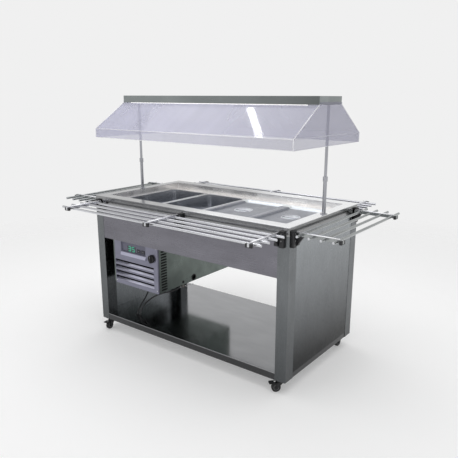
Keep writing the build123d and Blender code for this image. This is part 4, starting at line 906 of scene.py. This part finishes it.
def make_vent_shade_edging():
    """A flat black band round each side vent, painted shade that makes the vents read wider and darker.
    """
    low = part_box("unit_front_panel")[0]
    near = low.y + VENT_FROM_COVER
    work = bmesh.new()
    for vent in range(VENT_COUNT):
        middle = FIRST_VENT + vent * VENT_PITCH
        rows = []
        for side, top, proud in EDGING_PROFILE:
            start, end = near - side, near + VENT_LENGTH + side
            half = VENT_HEIGHT / 2 + top
            bottom, head = middle - half, middle + half
            corners = ((start, bottom), (end, bottom), (end, head), (start, head))
            rows.append([Vector((UNIT_RIGHT + proud, depth, height)) for depth, height in corners])
        add_rows(work, rows)
    add_piece("vent_shade_edging", work, "black_shade_and_seam", "cart", False)


def make_cover_seam():
    low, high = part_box("unit_front_panel")
    work = bmesh.new()
    add_rod(work, (UNIT_RIGHT, high.y, low.z), (UNIT_RIGHT, high.y, high.z), SEAM_RADIUS)
    add_piece("cover_seam", work, "black_shade_and_seam", "cart")


# Worktop: sealant round the well
WELL_CORNER = 4 * MM
SEALANT_INSET = 1.5 * MM
SEALANT_RADIUS = 1.0 * MM


def make_well_sealant():
    liner_low, liner_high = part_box("well_liner")
    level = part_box("worktop")[1].z - SEALANT_INSET
    inner = Vector((SEALANT_INSET, SEALANT_INSET, 0))
    work = bmesh.new()
    outline = rounded_outline(liner_low + inner, liner_high - inner, WELL_CORNER, level)
    add_loop_tube(work, outline, SEALANT_RADIUS)
    add_piece("well_sealant", work, "sealant", "cart")


# Casters: pale hub rings and ribs in the wheels' dished sides
HUB_RING_RADIUS = 14.5 * MM
HUB_BEAD = 1.3 * MM
HUB_LEVEL = 8.4 * MM
RIB_COUNT = 8
RIB_START = 8 * MM
RIB_RADIUS = 0.9 * MM


def make_wheel_hubs():
    for joint in frame["joints"]:
        if not joint["name"].startswith("wheel_"):
            continue
        centre = Vector(joint["pos_m"])
        axis = Vector(joint["axis"])
        turn = turn_to(axis)
        work = bmesh.new()
        for side in (-1, 1):
            level = centre + axis * side * HUB_LEVEL
            add_ring(work, level, axis, HUB_RING_RADIUS, HUB_BEAD, segments=32)
            for rib in range(RIB_COUNT):
                angle = 2 * pi * rib / RIB_COUNT
                outward = turn @ Vector((cos(angle), sin(angle), 0))
                inner, outer = (level + outward * reach for reach in (RIB_START, HUB_RING_RADIUS))
                add_rod(work, inner, outer, RIB_RADIUS)
        add_piece(f"hub_{joint['child']}", work, "hub", joint["child"])


# Drain: two hoses that hang from the unit down to the shelf's grommets, each with a band clamp
HOSE_RADIUS = 4.5 * MM
HOSE_ROUNDNESS = 4
HOSE_ORDER = 3
COCK_HOSE_ROUTE = (
    (-242.74, -116.84, 316.18),
    (-271.27, -124.62, 293.95),
    (-318, -139, 270),
    (-372, -162, 254),
    (-414, -196, 233),
    (-440, -236, 204),
    (-452, -272, 172),
    (-456, -290, 136),
    (-456, -290, 84),
)
TRAY_HOSE_ROUTE = (
    (-505, -132, 339),
    (-505, -132, 304),
    (-504, -148, 262),
    (-502, -176, 222),
    (-499, -212, 188),
    (-495, -250, 158),
    (-489, -284, 128),
    (-489, -284, 82),
)
CLAMP_START = 4 * MM
CLAMP_RADIUS = 5.2 * MM
CLAMP_BEAD = 0.9 * MM
CLAMP_PITCH = 2.2 * MM
CLAMP_BANDS = 4


def make_hose(name, route):
    """One soft hose along a smooth line between its two ends."""
    curve = bpy.data.curves.new(name, "CURVE")
    curve.dimensions = "3D"
    curve.bevel_depth = HOSE_RADIUS
    curve.bevel_resolution = HOSE_ROUNDNESS
    curve.use_fill_caps = True
    spline = curve.splines.new("NURBS")
    spline.points.add(len(route) - 1)
    for control, place in zip(spline.points, route):
        control.co = (*(Vector(place) * MM), 1)
    spline.order_u = HOSE_ORDER
    spline.use_endpoint_u = True
    curve.materials.append(SHADES["hose"])
    hose = bpy.data.objects.new(name, curve)
    bpy.context.collection.objects.link(hose)
    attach(hose, "cart")
    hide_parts("drain_hoses")


def make_hose_clamps():
    work = bmesh.new()
    for route in (COCK_HOSE_ROUTE, TRAY_HOSE_ROUTE):
        start, after = Vector(route[0]) * MM, Vector(route[1]) * MM
        direction = (after - start).normalized()
        for band in range(CLAMP_BANDS):
            centre = start + direction * (CLAMP_START + band * CLAMP_PITCH)
            add_ring(work, centre, direction, CLAMP_RADIUS, CLAMP_BEAD, sides=6)
    add_piece("hose_clamps", work, "polished", "cart")


bpy.context.scene.view_settings.view_transform = "Standard"
make_camera()
make_hose("cock_hose", COCK_HOSE_ROUTE)
make_hose("tray_hose", TRAY_HOSE_ROUTE)
dress_nodes()
make_floor()
make_world()
make_lights()
make_canopy_edge_highlights()
make_hem_glow()
for slide_side in SLIDE_TURNS:
    make_slide_details(slide_side)
make_pan_rims()
make_display_digits("35")
make_button_arrows()
make_knob_mark()
make_louvre_lips()
make_case_sill()
make_vent_shade_mat()
make_vent_shade_edging()
make_cover_seam()
make_well_sealant()
make_wheel_hubs()
make_hose_clamps()
